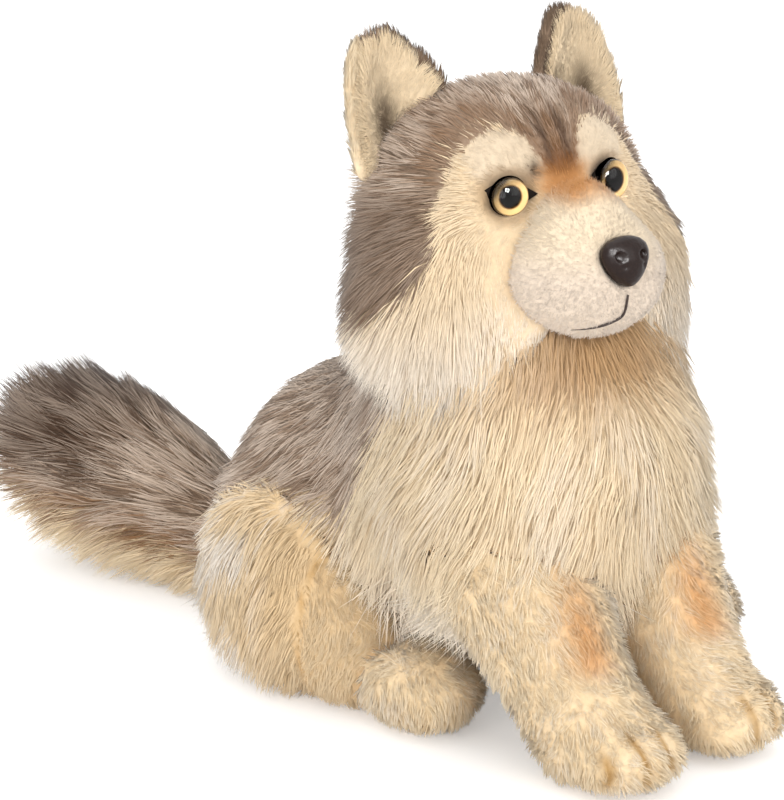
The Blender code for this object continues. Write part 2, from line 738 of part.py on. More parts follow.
def mouth_route(muzzle_surface, nose_seat):
    """Points of the mouth's thread on the muzzle: down from the nose, then back under one side."""
    top = nose_seat.z - MOUTH_TOP
    corner = top - PHILTRUM_LENGTH
    steps = round((PHILTRUM_LENGTH + MOUTH_LENGTH) / THREAD_PITCH)
    turn = PHILTRUM_LENGTH / (PHILTRUM_LENGTH + MOUTH_LENGTH)
    route = []
    for step in range(steps + 1):
        along = step / steps
        if along < turn:
            across, up = 0.0, top - PHILTRUM_LENGTH * along / turn
        else:
            reach = (along - turn) / (1 - turn)
            across, up = -MOUTH_LENGTH * reach, corner - MOUTH_SAG * math.sin(math.pi * reach / 2)
        point = front_point(muzzle_surface, across, up)
        route.append(point)
    return route


def thread_mesh(shop, name, route, diameter):
    """A thread of one diameter along a route, as a closed mesh."""
    line = bpy.data.curves.new(name, "CURVE")
    line.dimensions = "3D"
    line.bevel_depth = diameter / 2
    line.bevel_resolution = 1
    line.use_fill_caps = True
    spline = line.splines.new("POLY")
    spline.points.add(len(route) - 1)
    for point, place in zip(spline.points, route):
        point.co = (*place, 1.0)
    thing = shop.cutter(name + "_line", line, None)
    mesh = evaluated_mesh(thing)
    bpy.data.objects.remove(thing, do_unlink=True)
    body = bmesh.new()
    body.from_mesh(mesh)
    bmesh.ops.remove_doubles(body, verts=body.verts, dist=0.00001)
    bmesh.ops.recalc_face_normals(body, faces=body.faces)
    bpy.data.meshes.remove(mesh)
    return mesh_from(body, name)


def build_head(shop, finishes, torso_seam):
    """The head with its muzzle, ears, eyes, nose and mouth, in a frame turned to one side."""
    place = Matrix.Translation((0.0, -HEAD_FORWARD, HEAD_LIFT)) @ Matrix.Rotation(HEAD_TURN, 4, "Z")
    frame = shop.empty("head_frame", shop.root, place)
    head_form = shop.soft_form("head", head_balls(), CLOTH_VOXEL)
    head_surface = surface_of(head_form)
    head_seam = shop.grown("head", head_form, frame)
    head = shop.part("head", head_form, frame, finishes.cream_pile)
    cut(head, torso_seam)

    muzzle_form = shop.soft_form("muzzle", muzzle_balls(), FINE_VOXEL)
    muzzle_surface = surface_of(muzzle_form)
    muzzle = shop.part("muzzle", muzzle_form, frame, finishes.velour)
    cut(muzzle, head_seam, torso_seam)

    for side, word in SIDES:
        build_ear(shop, finishes, frame, head_seam, side, word)
        room, bore = build_eye(shop, finishes, frame, head_surface, side, word)
        cut(head, room, bore)
        cut(muzzle, room)

    nose_room, nose_bore, nose_seat = build_nose(shop, finishes, frame, muzzle_surface)
    cut(muzzle, nose_room, nose_bore)
    route = mouth_route(muzzle_surface, nose_seat)
    stitch = thread_mesh(shop, "mouth_stitch", route, THREAD_DIAMETER)
    shop.part("mouth_stitch", stitch, frame, finishes.thread)
    groove = thread_mesh(shop, "mouth_groove", route, THREAD_DIAMETER + 2 * SEAM_GAP)
    cut(muzzle, shop.cutter("mouth_groove", groove, frame))


def build_limbs(shop, finishes, torso_seam):
    """Haunches, hind feet, forelegs and tail, each hollowed by what it is sewn to."""
    haunch_seams = []
    for side, word in SIDES:
        form = shop.soft_form("haunch_" + word, haunch_balls(side), CLOTH_VOXEL)
        haunch_seam = shop.grown("haunch_" + word, form, shop.root)
        haunch = shop.part("haunch_" + word, form, shop.root, finishes.tan_pile)
        cut(haunch, torso_seam, shop.floor)

        form = shop.soft_form("foreleg_" + word, foreleg_balls(side), FINE_VOXEL)
        foreleg_seam = shop.grown("foreleg_" + word, form, shop.root)
        foreleg = shop.part("foreleg_" + word, form, shop.root, finishes.cream_pile)
        cut(foreleg, torso_seam, haunch_seam, shop.floor, toe_creases(shop, side, word))

        form = shop.soft_form("hind_foot_" + word, hind_foot_balls(side), FINE_VOXEL)
        hind_foot = shop.part("hind_foot_" + word, form, shop.root, finishes.cream_pile)
        cut(hind_foot, torso_seam, haunch_seam, foreleg_seam, shop.floor)
        haunch_seams.append(haunch_seam)

    form = shop.soft_form("tail", tail_balls(), CLOTH_VOXEL)
    tail = shop.part("tail", form, shop.root, finishes.grey_pile)
    cut(tail, torso_seam, *haunch_seams, shop.floor)


def stand_on_origin(shop):
    """Shift the whole wolf so that the origin is at the middle of its footprint, on the floor."""
    bpy.context.view_layer.update()
    graph = bpy.context.evaluated_depsgraph_get()
    corners = []
    for thing in shop.parts.objects:
        if thing.type == "MESH":
            seen = thing.evaluated_get(graph)
            corners += [seen.matrix_world @ point.co for point in seen.data.vertices]
    low = Vector([min(corner[axis] for corner in corners) for axis in range(3)])
    high = Vector([max(corner[axis] for corner in corners) for axis in range(3)])
    shop.root.location = (-(low.x + high.x) / 2, -(low.y + high.y) / 2, -low.z)


def build():
    remove_everything()
    shop = Workshop()
    finishes = Finishes()
    torso_form = shop.soft_form("torso", torso_balls(), CLOTH_VOXEL)
    torso_seam = shop.grown("torso", torso_form, shop.root)
    torso = shop.part("torso", torso_form, shop.root, finishes.grey_pile)
    cut(torso, shop.floor)
    build_head(shop, finishes, torso_seam)
    build_limbs(shop, finishes, torso_seam)
    stand_on_origin(shop)


build()
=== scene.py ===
"""The looks of a seated plush wolf: long and short pile, velour, moulded eyes and nose, on a white floor.

Lengths are in metres and colours are linear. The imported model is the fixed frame: its solids give
every piece its place, and the cushions, pile and mouldings made here stand for them.
"""

import logging
import math
from dataclasses import dataclass, field, replace
from enum import Enum
from typing import Callable, Iterator, Sequence

import bmesh
import bpy
import numpy as np
from mathutils import Matrix, Vector, noise
from mathutils.bvhtree import BVHTree
from mathutils.kdtree import KDTree


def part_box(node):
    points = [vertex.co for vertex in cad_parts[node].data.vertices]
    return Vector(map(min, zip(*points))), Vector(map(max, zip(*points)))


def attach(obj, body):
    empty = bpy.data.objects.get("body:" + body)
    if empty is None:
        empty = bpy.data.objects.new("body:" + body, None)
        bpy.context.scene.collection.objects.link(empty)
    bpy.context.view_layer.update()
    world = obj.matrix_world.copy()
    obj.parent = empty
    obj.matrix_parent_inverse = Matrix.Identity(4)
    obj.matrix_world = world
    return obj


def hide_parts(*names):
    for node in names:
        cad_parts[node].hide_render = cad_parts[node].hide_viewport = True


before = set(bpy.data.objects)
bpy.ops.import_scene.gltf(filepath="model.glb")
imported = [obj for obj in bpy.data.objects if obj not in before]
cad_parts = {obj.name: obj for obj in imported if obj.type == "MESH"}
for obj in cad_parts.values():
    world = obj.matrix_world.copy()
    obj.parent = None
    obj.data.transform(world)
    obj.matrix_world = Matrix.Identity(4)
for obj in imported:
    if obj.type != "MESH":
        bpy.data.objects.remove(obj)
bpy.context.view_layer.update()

LOG = logging.getLogger("plush_wolf")
MM = 0.001
BODY = "root"
COLOUR_ATTRIBUTE = "pile_colour"
BAKE_MAP = "OFBake"
FLOOR_CLEARANCE = 0.3 * MM
SHADING_ROUNDNESS = 0.40
UNDERSIDE_LIFT = (1.0, 1.0, 0.35)
BURIED_REACH = 0.3 * MM
SEAM_REACH = 3.0 * MM
FAR = 0.3
WELD = 1e-6
CLOTH_FRAMES = 12
SPIN_STEPS = 48
NOISE_SEED = 7
BED_HEIGHT = 1.5 * MM
ROOT_DEPTH = 0.4 * MM
FRONT_SHARE = 0.45
FLOOR_GREY = (0.9, 0.9, 0.9, 1.0)
FLOOR_GLOW = 0.30
SKY_LEVEL = 0.92
WHITE = (1.0, 1.0, 1.0, 1.0)

Array = np.ndarray
Tones = tuple[Array, Array]
Where = Callable[[Array], Array]
Inputs = dict[str | int, object]


def srgb(red: int, green: int, blue: int) -> Array:
    """A linear colour from 8-bit display values.

    Args:
        red: Red from 0 to 255.
        green: Green from 0 to 255.
        blue: Blue from 0 to 255.

    Returns:
        The three linear values.
    """
    shown = np.array((red, green, blue), float) / 255
    return np.where(shown <= 0.04045, shown / 12.92, ((shown + 0.055) / 1.055) ** 2.4)


GREY_ROOT = srgb(150, 127, 106)
GREY_TIP = srgb(225, 206, 188)
DARK_TIP = srgb(84, 63, 49)
BROWN_TIP = srgb(178, 151, 128)
BORDER_TIP = srgb(132, 92, 56)
CREAM_ROOT = srgb(235, 207, 168)
CREAM_TIP = srgb(243, 224, 192)
CHEEK_TIP = srgb(232, 211, 180)
WHITE_TIP = srgb(247, 238, 226)
BROW_TIP = srgb(216, 197, 171)
TAN_ROOT = srgb(223, 192, 148)
TAN_TIP = srgb(236, 214, 180)
PAW_ROOT = srgb(232, 204, 162)
PAW_TIP = srgb(244, 226, 196)
ORANGE = srgb(218, 154, 90)
BRIDGE_TAN = srgb(196, 138, 82)
NECK_SHADE = srgb(180, 134, 82)
FURROW_BROWN = srgb(122, 78, 42)
# Brown of the thigh's seam, also used as painted shade in the forepaws' toe creases.
SEAM_BROWN_AND_CREASE_SHADE = srgb(184, 142, 84)
VELOUR_ROOT = srgb(222, 204, 184)
VELOUR_TIP = srgb(218, 204, 190)
LINING_TONE = srgb(244, 220, 184)
EAR_SHADE = srgb(84, 66, 50)
EAR_RIM = srgb(78, 58, 42)
EYE_RING = srgb(140, 104, 64)
IRIS_GOLD = srgb(226, 188, 128)
IRIS_BROWN = srgb(92, 58, 24)
PUPIL_BLACK = srgb(8, 6, 5)
NOSE_BROWN = srgb(34, 19, 14)
FELT_BLACK = srgb(34, 26, 20)
WASHER_WHITE = srgb(226, 226, 222)
THREAD_BROWN = srgb(50, 32, 24)
IRIS_RINGS = ((0.46, PUPIL_BLACK), (0.50, IRIS_BROWN), (0.57, IRIS_GOLD), (0.76, IRIS_GOLD),
              (0.83, IRIS_BROWN), (0.90, PUPIL_BLACK))

MASK_SIDE = (0, 5, 8, 11, 15, 21, 25, 30, 35, 38, 42, 51, 57, 75)
MASK_TOP = (3, 4, 12, 16.5, 19, 18.5, 16.5, 13, 6.5, -2, -13, -23, -31, -50)
SADDLE_BACK = (70, 90, 105, 130, 150, 175)
SADDLE_FLOOR = (66, 66, 72, 73, 62, 20)


def smoothstep(low: float, high: float, values: Array) -> Array:
    """A soft step from 0 at low to 1 at high.

    Args:
        low: Where the step starts.
        high: Where it ends.
        values: The values to place on it.

    Returns:
        The step's heights.
    """
    share = np.clip((values - low) / (high - low), 0.0, 1.0)
    return share * share * (3.0 - 2.0 * share)


def blend(first: Array, second: Array, share: Array) -> Array:
    """Mixes two colours, or two sets of them, by a share for each row."""
    return first + (second - first) * np.asarray(share)[..., None]


def everywhere(colour: Array, points: Array) -> Array:
    """The same colour for each point."""
    return np.broadcast_to(colour, points.shape)


def grey_tips(points: Array, streak: Array, dark: Array) -> Array:
    """The tips of grey hair, with brown and dark locks.

    Args:
        points: Where the hairs grow.
        streak: A random share that neighbours have in common.
        dark: How far each is darkened.

    Returns:
        The colours.
    """
    tips = blend(everywhere(GREY_TIP, points), BROWN_TIP, smoothstep(0.42, 0.78, streak))
    return blend(tips, DARK_TIP, dark)


def unit(vectors: Array) -> Array:
    """Scales each row to a length of one."""
    return vectors / np.maximum(np.linalg.norm(vectors, axis=-1, keepdims=True), 1e-9)


def flattened(vectors: Array, normals: Array) -> Array:
    """The part of each vector that lies along the surface with the given normal, at a length of one."""
    return unit(vectors - normals * np.sum(vectors * normals, axis=1, keepdims=True))


def ripples(points: Array, size: float) -> Array:
    """A soft random vector field.

    Args:
        points: Where it is read.
        size: The size of its ripples.

    Returns:
        One vector for each point.
    """
    return np.array([noise.noise_vector(Vector(place)) for place in points / size])


class PileKind(Enum):
    """The kinds of hair that a pile is made of."""

    LONG = "long"
    SHORT = "short"


@dataclass(frozen=True)
class HairShape:
    """One hair, as a cone pulled to a curve: its points along and across, and its faces."""

    along: Array
    across: Array
    loops: Array
    totals: Array

    @classmethod
    def of_kind(cls, kind: PileKind) -> "HairShape":
        """Makes the hair of one kind of pile.

        Args:
            kind: Long hair has a bend and a belly, pointed at both ends, and short hair is a plain cone.

        Returns:
            The hair's shape.
        """
        body = bmesh.new()
        bmesh.ops.create_cone(body, cap_ends=True, segments=3, radius1=0.5, radius2=0.0, depth=1.0)
        if kind is PileKind.LONG:
            base = [face for face in body.faces if all(point.co.z < 0 for point in face.verts)]
            poked = bmesh.ops.poke(body, faces=base)
            bmesh.ops.translate(body, vec=(0, 0, -0.5), verts=poked["verts"])
            bmesh.ops.scale(body, vec=(1.0, 1.0, 2 / 3), verts=body.verts)
            bmesh.ops.translate(body, vec=(0, 0, 1 / 6), verts=body.verts)
        bmesh.ops.recalc_face_normals(body, faces=body.faces)
        body.verts.index_update()
        points = np.array([point.co[:] for point in body.verts])
        loops = np.array([point.index for face in body.faces for point in face.verts])
        totals = np.array([len(face.verts) for face in body.faces])
        body.free()
        return cls(points[:, 2] + 0.5, points[:, :2], loops, totals)


@dataclass(frozen=True)
class Pile:
    """How a pile grows: counts, sizes and the way its hairs lie."""

    count: int
    width: float
    kind: PileKind = PileKind.LONG
    share: float = 1.0
    rise: float = 0.42
    lie: float = 0.26
    droop: float = 0.08
    stray: float = 0.15
    wave: float = 0.30
    clump: float = 0.45
    clump_size: int = 12
    tuft: float = 0.30
    spread: float = 0.30
    tone_spread: float = 0.035
    # How far the tips are painted toward the root colour: painted shade for hair that lies under the guard
    # hair.
    deep: float = 0.0


# Under hair, its tips painted toward its root colour as painted shade.
UNDER_PILE = Pile(count=6500, width=0.65 * MM, kind=PileKind.SHORT, share=0.7, deep=0.4)
CURLY_PILE = Pile(count=3600, width=0.62 * MM, kind=PileKind.SHORT, lie=0.7, wave=0.9, stray=0.4, clump=0.5,
                  clump_size=8, droop=0.0)
Growth = tuple[str, str, Pile, Where | None]


def feed(node: bpy.types.Node, inputs: Inputs) -> bpy.types.Node:
    """Fills a node's inputs: a socket is linked, and anything else is a value.

    Args:
        node: The node.
        inputs: What goes in, by the input's name or number.

    Returns:
        The same node.
    """
    for key, value in inputs.items():
        if isinstance(value, bpy.types.NodeSocket):
            node.id_data.links.new(value, node.inputs[key])
        else:
            node.inputs[key].default_value = value
    return node


def new_node(tree: bpy.types.NodeTree, kind: str, inputs: Inputs, operation: str = "") -> bpy.types.Node:
    """Adds a shader node to a tree.

    Args:
        tree: The tree.
        kind: The node's kind, without Blender's prefix.
        inputs: What goes into it.
        operation: What a node of arithmetic does.

    Returns:
        The node.
    """
    node = tree.nodes.new("ShaderNode" + kind)
    if operation:
        node.operation = operation
    return feed(node, inputs)


def new_shader(name: str, inputs: Inputs) -> tuple[bpy.types.Material, bpy.types.Node]:
    """Starts a node material.

    Args:
        name: The material's name.
        inputs: What goes into its shader.

    Returns:
        The material and its shader.
    """
    made = bpy.data.materials.new(name)
    made.use_nodes = True
    return made, feed(made.node_tree.nodes["Principled BSDF"], inputs)


@dataclass(frozen=True)
class Grain:
    """A fine noise that varies a shader's roughness and lifts its surface."""

    scale: float
    detail: float
    roughness: tuple[float, float]
    bump: float
    bump_depth: float

    def into(self, shader: bpy.types.Node) -> bpy.types.NodeSocket:
        """Joins the grain to a shader.

        Args:
            shader: The shader.

        Returns:
            The grain's own values, which also vary the colour.
        """
        tree = shader.id_data
        place = new_node(tree, "TexCoord", {}).outputs["Object"]
        noise_node = new_node(tree, "TexNoise", {"Vector": place, "Scale": self.scale, "Detail": self.detail})
        grain = noise_node.outputs["Fac"]
        least, most = self.roughness
        rough = new_node(tree, "MapRange", {"Value": grain, "To Min": least, "To Max": most})
        feed(shader, {"Roughness": rough.outputs["Result"]})
        if self.bump:
            bump = new_node(tree, "Bump", {"Height": grain, "Strength": self.bump,
                                           "Distance": self.bump_depth})
            feed(shader, {"Normal": bump.outputs["Normal"]})
        return grain


@dataclass(frozen=True)
class PileFinish:
    """The finish of hairs and of the cloth under them: painted by vertex, soft and slightly sheened."""

    name: str
    roughness: float = 0.80
    sheen: float = 0.25
    grain: float = 700.0
    grain_depth: float = 0.10
    bump: float = 0.0

    def material(self) -> bpy.types.Material:
        """Builds the node material."""
        made, shader = new_shader(self.name, {"Sheen Weight": self.sheen, "Sheen Roughness": 0.5,
                                              "Specular IOR Level": 0.0})
        roughness = (self.roughness - 0.08, self.roughness + 0.08)
        grain = Grain(self.grain, 3.0, roughness, self.bump, 0.5 * MM).into(shader)
        painted = new_node(made.node_tree, "Attribute", {})
        painted.attribute_name = COLOUR_ATTRIBUTE
        level = new_node(made.node_tree, "MapRange", {"Value": grain, "To Min": 1.0 - self.grain_depth,
                                                      "To Max": 1.0 + self.grain_depth})
        toned = new_node(made.node_tree, "VectorMath",
                         {0: painted.outputs["Color"], "Scale": level.outputs["Result"]}, "SCALE")
        feed(shader, {"Base Color": toned.outputs["Vector"]})
        return made


def mesh_object(name: str, mesh: bpy.types.Mesh) -> bpy.types.Object:
    """A new object at the origin that shows a mesh."""
    made = bpy.data.objects.new(name, mesh)
    bpy.context.scene.collection.objects.link(made)
    return made


def applied(thing: bpy.types.Object) -> bpy.types.Mesh:
    """The mesh of an object with its modifiers applied."""
    bpy.context.view_layer.update()
    graph = bpy.context.evaluated_depsgraph_get()
    return bpy.data.meshes.new_from_object(thing.evaluated_get(graph))


def settle(thing: bpy.types.Object) -> bpy.types.Mesh:
    """Applies an object's modifiers for good.

    Args:
        thing: The object.

    Returns:
        Its new mesh.
    """
    finished = applied(thing)
    thing.modifiers.clear()
    thing.data = finished
    return finished


def rebuild(thing: bpy.types.Object, size: float) -> None:
    """Adds a modifier that rebuilds an object from even voxels of a size."""
    even = thing.modifiers.new("even", "REMESH")
    even.mode = "VOXEL"
    even.voxel_size = size


def round_off(thing: bpy.types.Object) -> None:
    """Adds a modifier that subdivides an object once."""
    finer = thing.modifiers.new("finer", "SUBSURF")
    finer.levels = 1
    finer.render_levels = 1


def mesh_of(body: bmesh.types.BMesh, name: str) -> bpy.types.Mesh:
    """Writes a bmesh to a new mesh and frees it."""
    mesh = bpy.data.meshes.new(name)
    body.to_mesh(mesh)
    body.free()
    return mesh


def merged_copy(node: str) -> bpy.types.Mesh:
    """A copy of a node's mesh with its loose triangles joined."""
    body = bmesh.new()
    body.from_mesh(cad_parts[node].data)
    bmesh.ops.remove_doubles(body, verts=body.verts, dist=WELD)
    return mesh_of(body, node + "_copy")


def places(mesh: bpy.types.Mesh, kind: str = "co") -> Array:
    """The places of a mesh's vertices, or another vector that each has."""
    flat = np.empty(len(mesh.vertices) * 3, np.float32)
    mesh.vertices.foreach_get(kind, flat)
    return flat.reshape(-1, 3).astype(float)


def normals_of(mesh: bpy.types.Mesh) -> Array:
    """The normals at a mesh's vertices."""
    return places(mesh, "normal")


def move_to(mesh: bpy.types.Mesh, points: Array) -> None:
    """Puts a mesh's vertices in new places."""
    mesh.vertices.foreach_set("co", points.astype(np.float32).ravel())
    mesh.update()


def triangles_of(mesh: bpy.types.Mesh) -> Array:
    """The vertex numbers of a mesh's triangles."""
    mesh.calc_loop_triangles()
    flat = np.empty(len(mesh.loop_triangles) * 3, np.int32)
    mesh.loop_triangles.foreach_get("vertices", flat)
    return flat.reshape(-1, 3)


def paint(mesh: bpy.types.Mesh, colours: Array) -> None:
    """Stores one colour for each vertex."""
    layer = mesh.color_attributes.new(COLOUR_ATTRIBUTE, "FLOAT_COLOR", "POINT")
    rgba = np.ones((len(colours), 4), np.float32)
    rgba[:, :3] = colours
    layer.data.foreach_set("color", rgba.ravel())


class Surroundings:
    """What lies near a piece: the solids of all the others."""

    def __init__(self, nodes: Sequence[str]) -> None:
        """Builds a search tree for each node.

        Args:
            nodes: The nodes whose solids may bury a surface.
        """
        self.trees: dict[str, BVHTree] = {}
        for node in nodes:
            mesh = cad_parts[node].data
            self.trees[node] = BVHTree.FromPolygons(
                [point.co.copy() for point in mesh.vertices], [face.vertices[:] for face in mesh.polygons]
            )

    def open_share(self, points: Array, normals: Array, own: str, reach: float) -> Array:
        """Says which points are free of the other solids: not inside one, and not just behind one.

        Args:
            points: Places on a surface.
            normals: The surface's normals there.
            own: The node that doesn't count, because the surface is its own.
            reach: How near another solid may stand in front of the surface.

        Returns:
            One for a free point and zero for a buried one.
        """
        trees = [tree for node, tree in self.trees.items() if node != own]
        free = np.ones(len(points))
        for i, (point, normal) in enumerate(zip(points, normals)):
            start, way = Vector(point), Vector(normal)
            for tree in trees:
                _, facing, _, far = tree.ray_cast(start, way, FAR)
                if facing is not None and (far < reach or facing.dot(way) > 0):
                    free[i] = 0.0
                    break
        return free

    def distance(self, node: str, points: Array) -> Array:
        """How far each point is from a node's surface, in millimetres."""
        tree = self.trees[node]
        return np.array([tree.find_nearest(Vector(point))[3] for point in points]) / MM


@dataclass
class EyeSeat:
    """The place of one eye: its axis, the flat back of its dome and the almond of felt under it."""

    word: str
    axis: Array = field(init=False)
    across: Array = field(init=False)
    rise: Array = field(init=False)
    centre: Array = field(init=False)
    radius: float = field(init=False)
    dome: float = field(init=False)
    felt_top: float = field(init=False)
    felt_length: float = field(init=False)
    felt_height: float = field(init=False)

    def __post_init__(self) -> None:
        """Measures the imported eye."""
        lens = places(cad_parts["eye_lens_" + self.word].data)
        washer = places(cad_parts["eye_washer_" + self.word].data)
        felt = places(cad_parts["eye_patch_" + self.word].data)
        middle = (lens.min(axis=0) + lens.max(axis=0)) / 2
        self.axis = unit(middle - (washer.min(axis=0) + washer.max(axis=0)) / 2)
        self.across = unit(np.cross((0.0, 0.0, 1.0), self.axis))
        self.rise = np.cross(self.axis, self.across)
        back = float((lens @ self.axis).min())
        self.centre = middle + self.axis * (back - middle @ self.axis)
        self.dome = float((lens @ self.axis).max()) - back
        self.radius = float(((lens - self.centre) @ self.across).max())
        self.felt_top = float(((felt - self.centre) @ self.axis).max())
        self.felt_length = 2 * float(((felt - self.centre) @ self.across).max())
        self.felt_height = 2 * float(((felt - self.centre) @ self.rise).max())

    def local(self, points: Array) -> tuple[Array, Array, Array]:
        """Places measured across, up and along the eye's axis."""
        away = points - self.centre
        return away @ self.across, away @ self.rise, away @ self.axis

    def covered(self, points: Array, margin: float) -> Array:
        """Which points lie over the felt or the dome.

        Args:
            points: Places near the eye.
            margin: How far the covered zone is grown.

        Returns:
            True for the covered points.
        """
        along, up, depth = self.local(points)
        half = self.felt_length * 0.47 + margin
        reach = np.minimum(np.abs(along) / half, 1.0)
        lobe = (self.felt_height * 0.30 + margin) * (1 - reach**1.3)
        inside = (np.abs(up) < lobe) | (np.hypot(along, up) < self.radius + margin)
        return inside & (np.abs(depth) < 14 * MM)

    def matrix(self) -> Matrix:
        """The eye's frame, with its axis as Z."""
        turn = Matrix((self.across, self.rise, self.axis)).transposed().to_4x4()
        turn.translation = Vector(self.centre)
        return turn


@dataclass
class Landmarks:
    """Places on the head and body that the markings are measured from."""

    eyes: tuple[EyeSeat, EyeSeat] = field(init=False)
    brow: Array = field(init=False)
    across: Array = field(init=False)
    forward: Array = field(init=False)
    middle: float = field(init=False)
    nose: Array = field(init=False)

    def __post_init__(self) -> None:
        """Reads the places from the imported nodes."""
        self.eyes = (EyeSeat("right"), EyeSeat("left"))
        right, left = (self.centre("eye_lens_" + word) for word in ("right", "left"))
        self.brow = (right + left) / 2
        self.across = unit((left - right) * (1, 1, 0))
        self.forward = np.array((self.across[1], -self.across[0], 0.0))
        self.middle = float(self.centre("torso")[0])
        self.nose = self.centre("nose")

    @staticmethod
    def centre(node: str) -> Array:
        """The middle of a node's box."""
        low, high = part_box(node)
        return np.array((low + high) / 2)

    def on_head(self, points: Array) -> tuple[Array, Array, Array]:
        """Places measured on the head, in millimetres.

        Args:
            points: Places in the frame.

        Returns:
            How far each lies to the wolf's left, in front of and above the middle of its eyes.
        """
        away = (points - self.brow) / MM
        return away @ self.across, away @ self.forward, away[:, 2]


class StuffedPiece:
    """A stuffed piece of the wolf: its cushion of cloth and the pile that grows on it."""

    node: str = ""
    voxel: float = 5.0 * MM
    full_length: float = 10.0 * MM
    inset_share: float = 0.20
    inset_least: float = 0.4 * MM
    fill: float = 0.8
    slot: str = "cream_pile"
    swell: float = 1.5 * MM
    cloth_tone: float = 0.2
    faces_front: bool = False

    def __init__(self, marks: Landmarks, around: Surroundings, seed: int, word: str = "") -> None:
        """Keeps what the piece is measured from.

        Args:
            marks: The places on the wolf.
            around: The other solids.
            seed: The seed of this piece's own random draws.
            word: The side, which ends the name of a node that comes in pairs.
        """
        self.marks = marks
        self.around = around
        self.draw = np.random.default_rng(seed)
        self.node = self.node + word
        self.low, self.high = (np.array(corner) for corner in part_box(self.node))
        self.middle = (self.low + self.high) / 2

    def build(self) -> None:
        """Makes the piece's cushion and its piles."""
        cloth = self.cushion()
        for name, slot, pile, where in self.growths():
            self.slot = slot
            self.grow(name, cloth, pile, where)

    def growths(self) -> Iterator[Growth]:
        """The piles on the cushion, in order: each one's name, slot, manner, and region or None for all."""
        raise NotImplementedError

    def back(self, points: Array) -> Array:
        """How far each place lies behind the piece's foremost point, in millimetres."""
        return (points[:, 1] - self.low[1]) / MM

    def tones(self, points: Array) -> Tones:
        """The colours at the root and at the tip of a hair that grows at each point."""
        raise NotImplementedError

    def comb(self, points: Array, normals: Array) -> Array:
        """The way that the hairs are combed at each point."""
        raise NotImplementedError

    def lengths(self, points: Array) -> Array:
        """The length of the hair at each point."""
        return np.full(len(points), self.full_length)

    def lit(self, normals: Array) -> Array:
        """The normals that the hairs are shaded with.

        Args:
            normals: The cloth's own normals at the roots.

        Returns:
            The same, but on a piece that faces front, none that looks back.
        """
        if not self.faces_front:
            return normals
        short = np.maximum(0.0, FRONT_SHARE - normals @ self.marks.forward)
        return unit(normals + np.outer(short, self.marks.forward))

    def keep(self, points: Array) -> Array:
        """Which points grow a hair."""
        return np.ones(len(points), bool)

    def shaped(self, points: Array) -> Array:
        """The cushion's points after the piece's own changes; a plain piece has none."""
        return points

    def locks(self, points: Array, size: float) -> Array:
        """A random share for each point that neighbours have in common.

        Args:
            points: Where it is read.
            size: How wide a lock of hair is.

        Returns:
            Shares from 0 to 1.
        """
        field_here = np.array([noise.noise(Vector(place)) for place in points / size])
        return np.clip(0.5 + 0.9 * field_here + 0.18 * self.draw.normal(size=len(points)), 0.0, 1.0)

    def cushion(self) -> bpy.types.Object:
        """Makes the cloth cushion that stands for the node, in place and painted."""
        thing = mesh_object(self.node + "_cushion", merged_copy(self.node))
        rebuild(thing, self.voxel)
        settle(thing)
        self.plump(thing)
        mesh = thing.data
        points, normals = places(mesh), normals_of(mesh)
        free = self.softened(mesh, self.around.open_share(points, normals, self.node, SEAM_REACH), 3)
        inset = self.inset_least + self.inset_share * self.lengths(points)
        points = self.shaped(points - normals * (inset * free)[:, None])
        points[:, 2] = np.maximum(points[:, 2], FLOOR_CLEARANCE)
        move_to(mesh, points)
        self.dress(thing)
        return thing

    def dress(self, thing: bpy.types.Object) -> None:
        """Args:
            thing: The cloth.
        """
        round_off(thing)
        finished = settle(thing)
        finished.shade_smooth()
        roots, tips = self.tones(places(finished))
        # The cloth is painted between its hairs' root and tip colours, nearer the roots: partly the pile's own
        # colour, partly painted shade under the hairs.
        paint(finished, blend(roots, tips, np.full(len(roots), self.cloth_tone)))
        finished.materials.clear()
        finished.materials.append(CLOTH)
        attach(thing, BODY)
        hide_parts(self.node)
        LOG.info("%s: %d faces", thing.name, len(finished.polygons))

    def plump(self, thing: bpy.types.Object) -> None:
        """Swells a cushion with cloth under pressure, and caps how far it may move.

        Args:
            thing: The evenly faced cushion.
        """
        start = places(thing.data)
        cloth = thing.modifiers.new("cloth", "CLOTH")
        cloth.settings.quality = 4
        cloth.settings.mass = 0.2
        cloth.settings.tension_stiffness = 12.0
        cloth.settings.compression_stiffness = 12.0
        cloth.settings.bending_stiffness = 0.4
        cloth.settings.use_pressure = True
        cloth.settings.uniform_pressure_force = 4.0
        cloth.settings.effector_weights.gravity = 0.0
        cloth.collision_settings.use_collision = False
        scene = bpy.context.scene
        cloth.point_cache.frame_start = 1
        cloth.point_cache.frame_end = CLOTH_FRAMES
        for number in range(1, CLOTH_FRAMES + 1):
            scene.frame_set(number)
        swollen = places(applied(thing))
        thing.modifiers.clear()
        scene.frame_set(1)
        moved = swollen - start
        reach = np.linalg.norm(moved, axis=1)
        moved *= np.minimum(1.0, self.swell / np.maximum(reach, 1e-9))[:, None]
        move_to(thing.data, start + moved)

    @staticmethod
    def softened(mesh: bpy.types.Mesh, values: Array, rounds: int) -> Array:
        """Spreads values over a mesh's neighbours.

        Args:
            mesh: The mesh that the values belong to.
            values: One value for each vertex.
            rounds: How many times each takes the mean of its neighbours.

        Returns:
            The softened values.
        """
        edges = np.empty(len(mesh.edges) * 2, np.int32)
        mesh.edges.foreach_get("vertices", edges)
        first, second = edges.reshape(-1, 2).T
        size = len(values)
        count = np.bincount(first, minlength=size) + np.bincount(second, minlength=size)
        for _ in range(rounds):
            total = np.bincount(first, values[second], size) + np.bincount(second, values[first], size)
            values = 0.5 * values + 0.5 * total / np.maximum(count, 1)
        return values

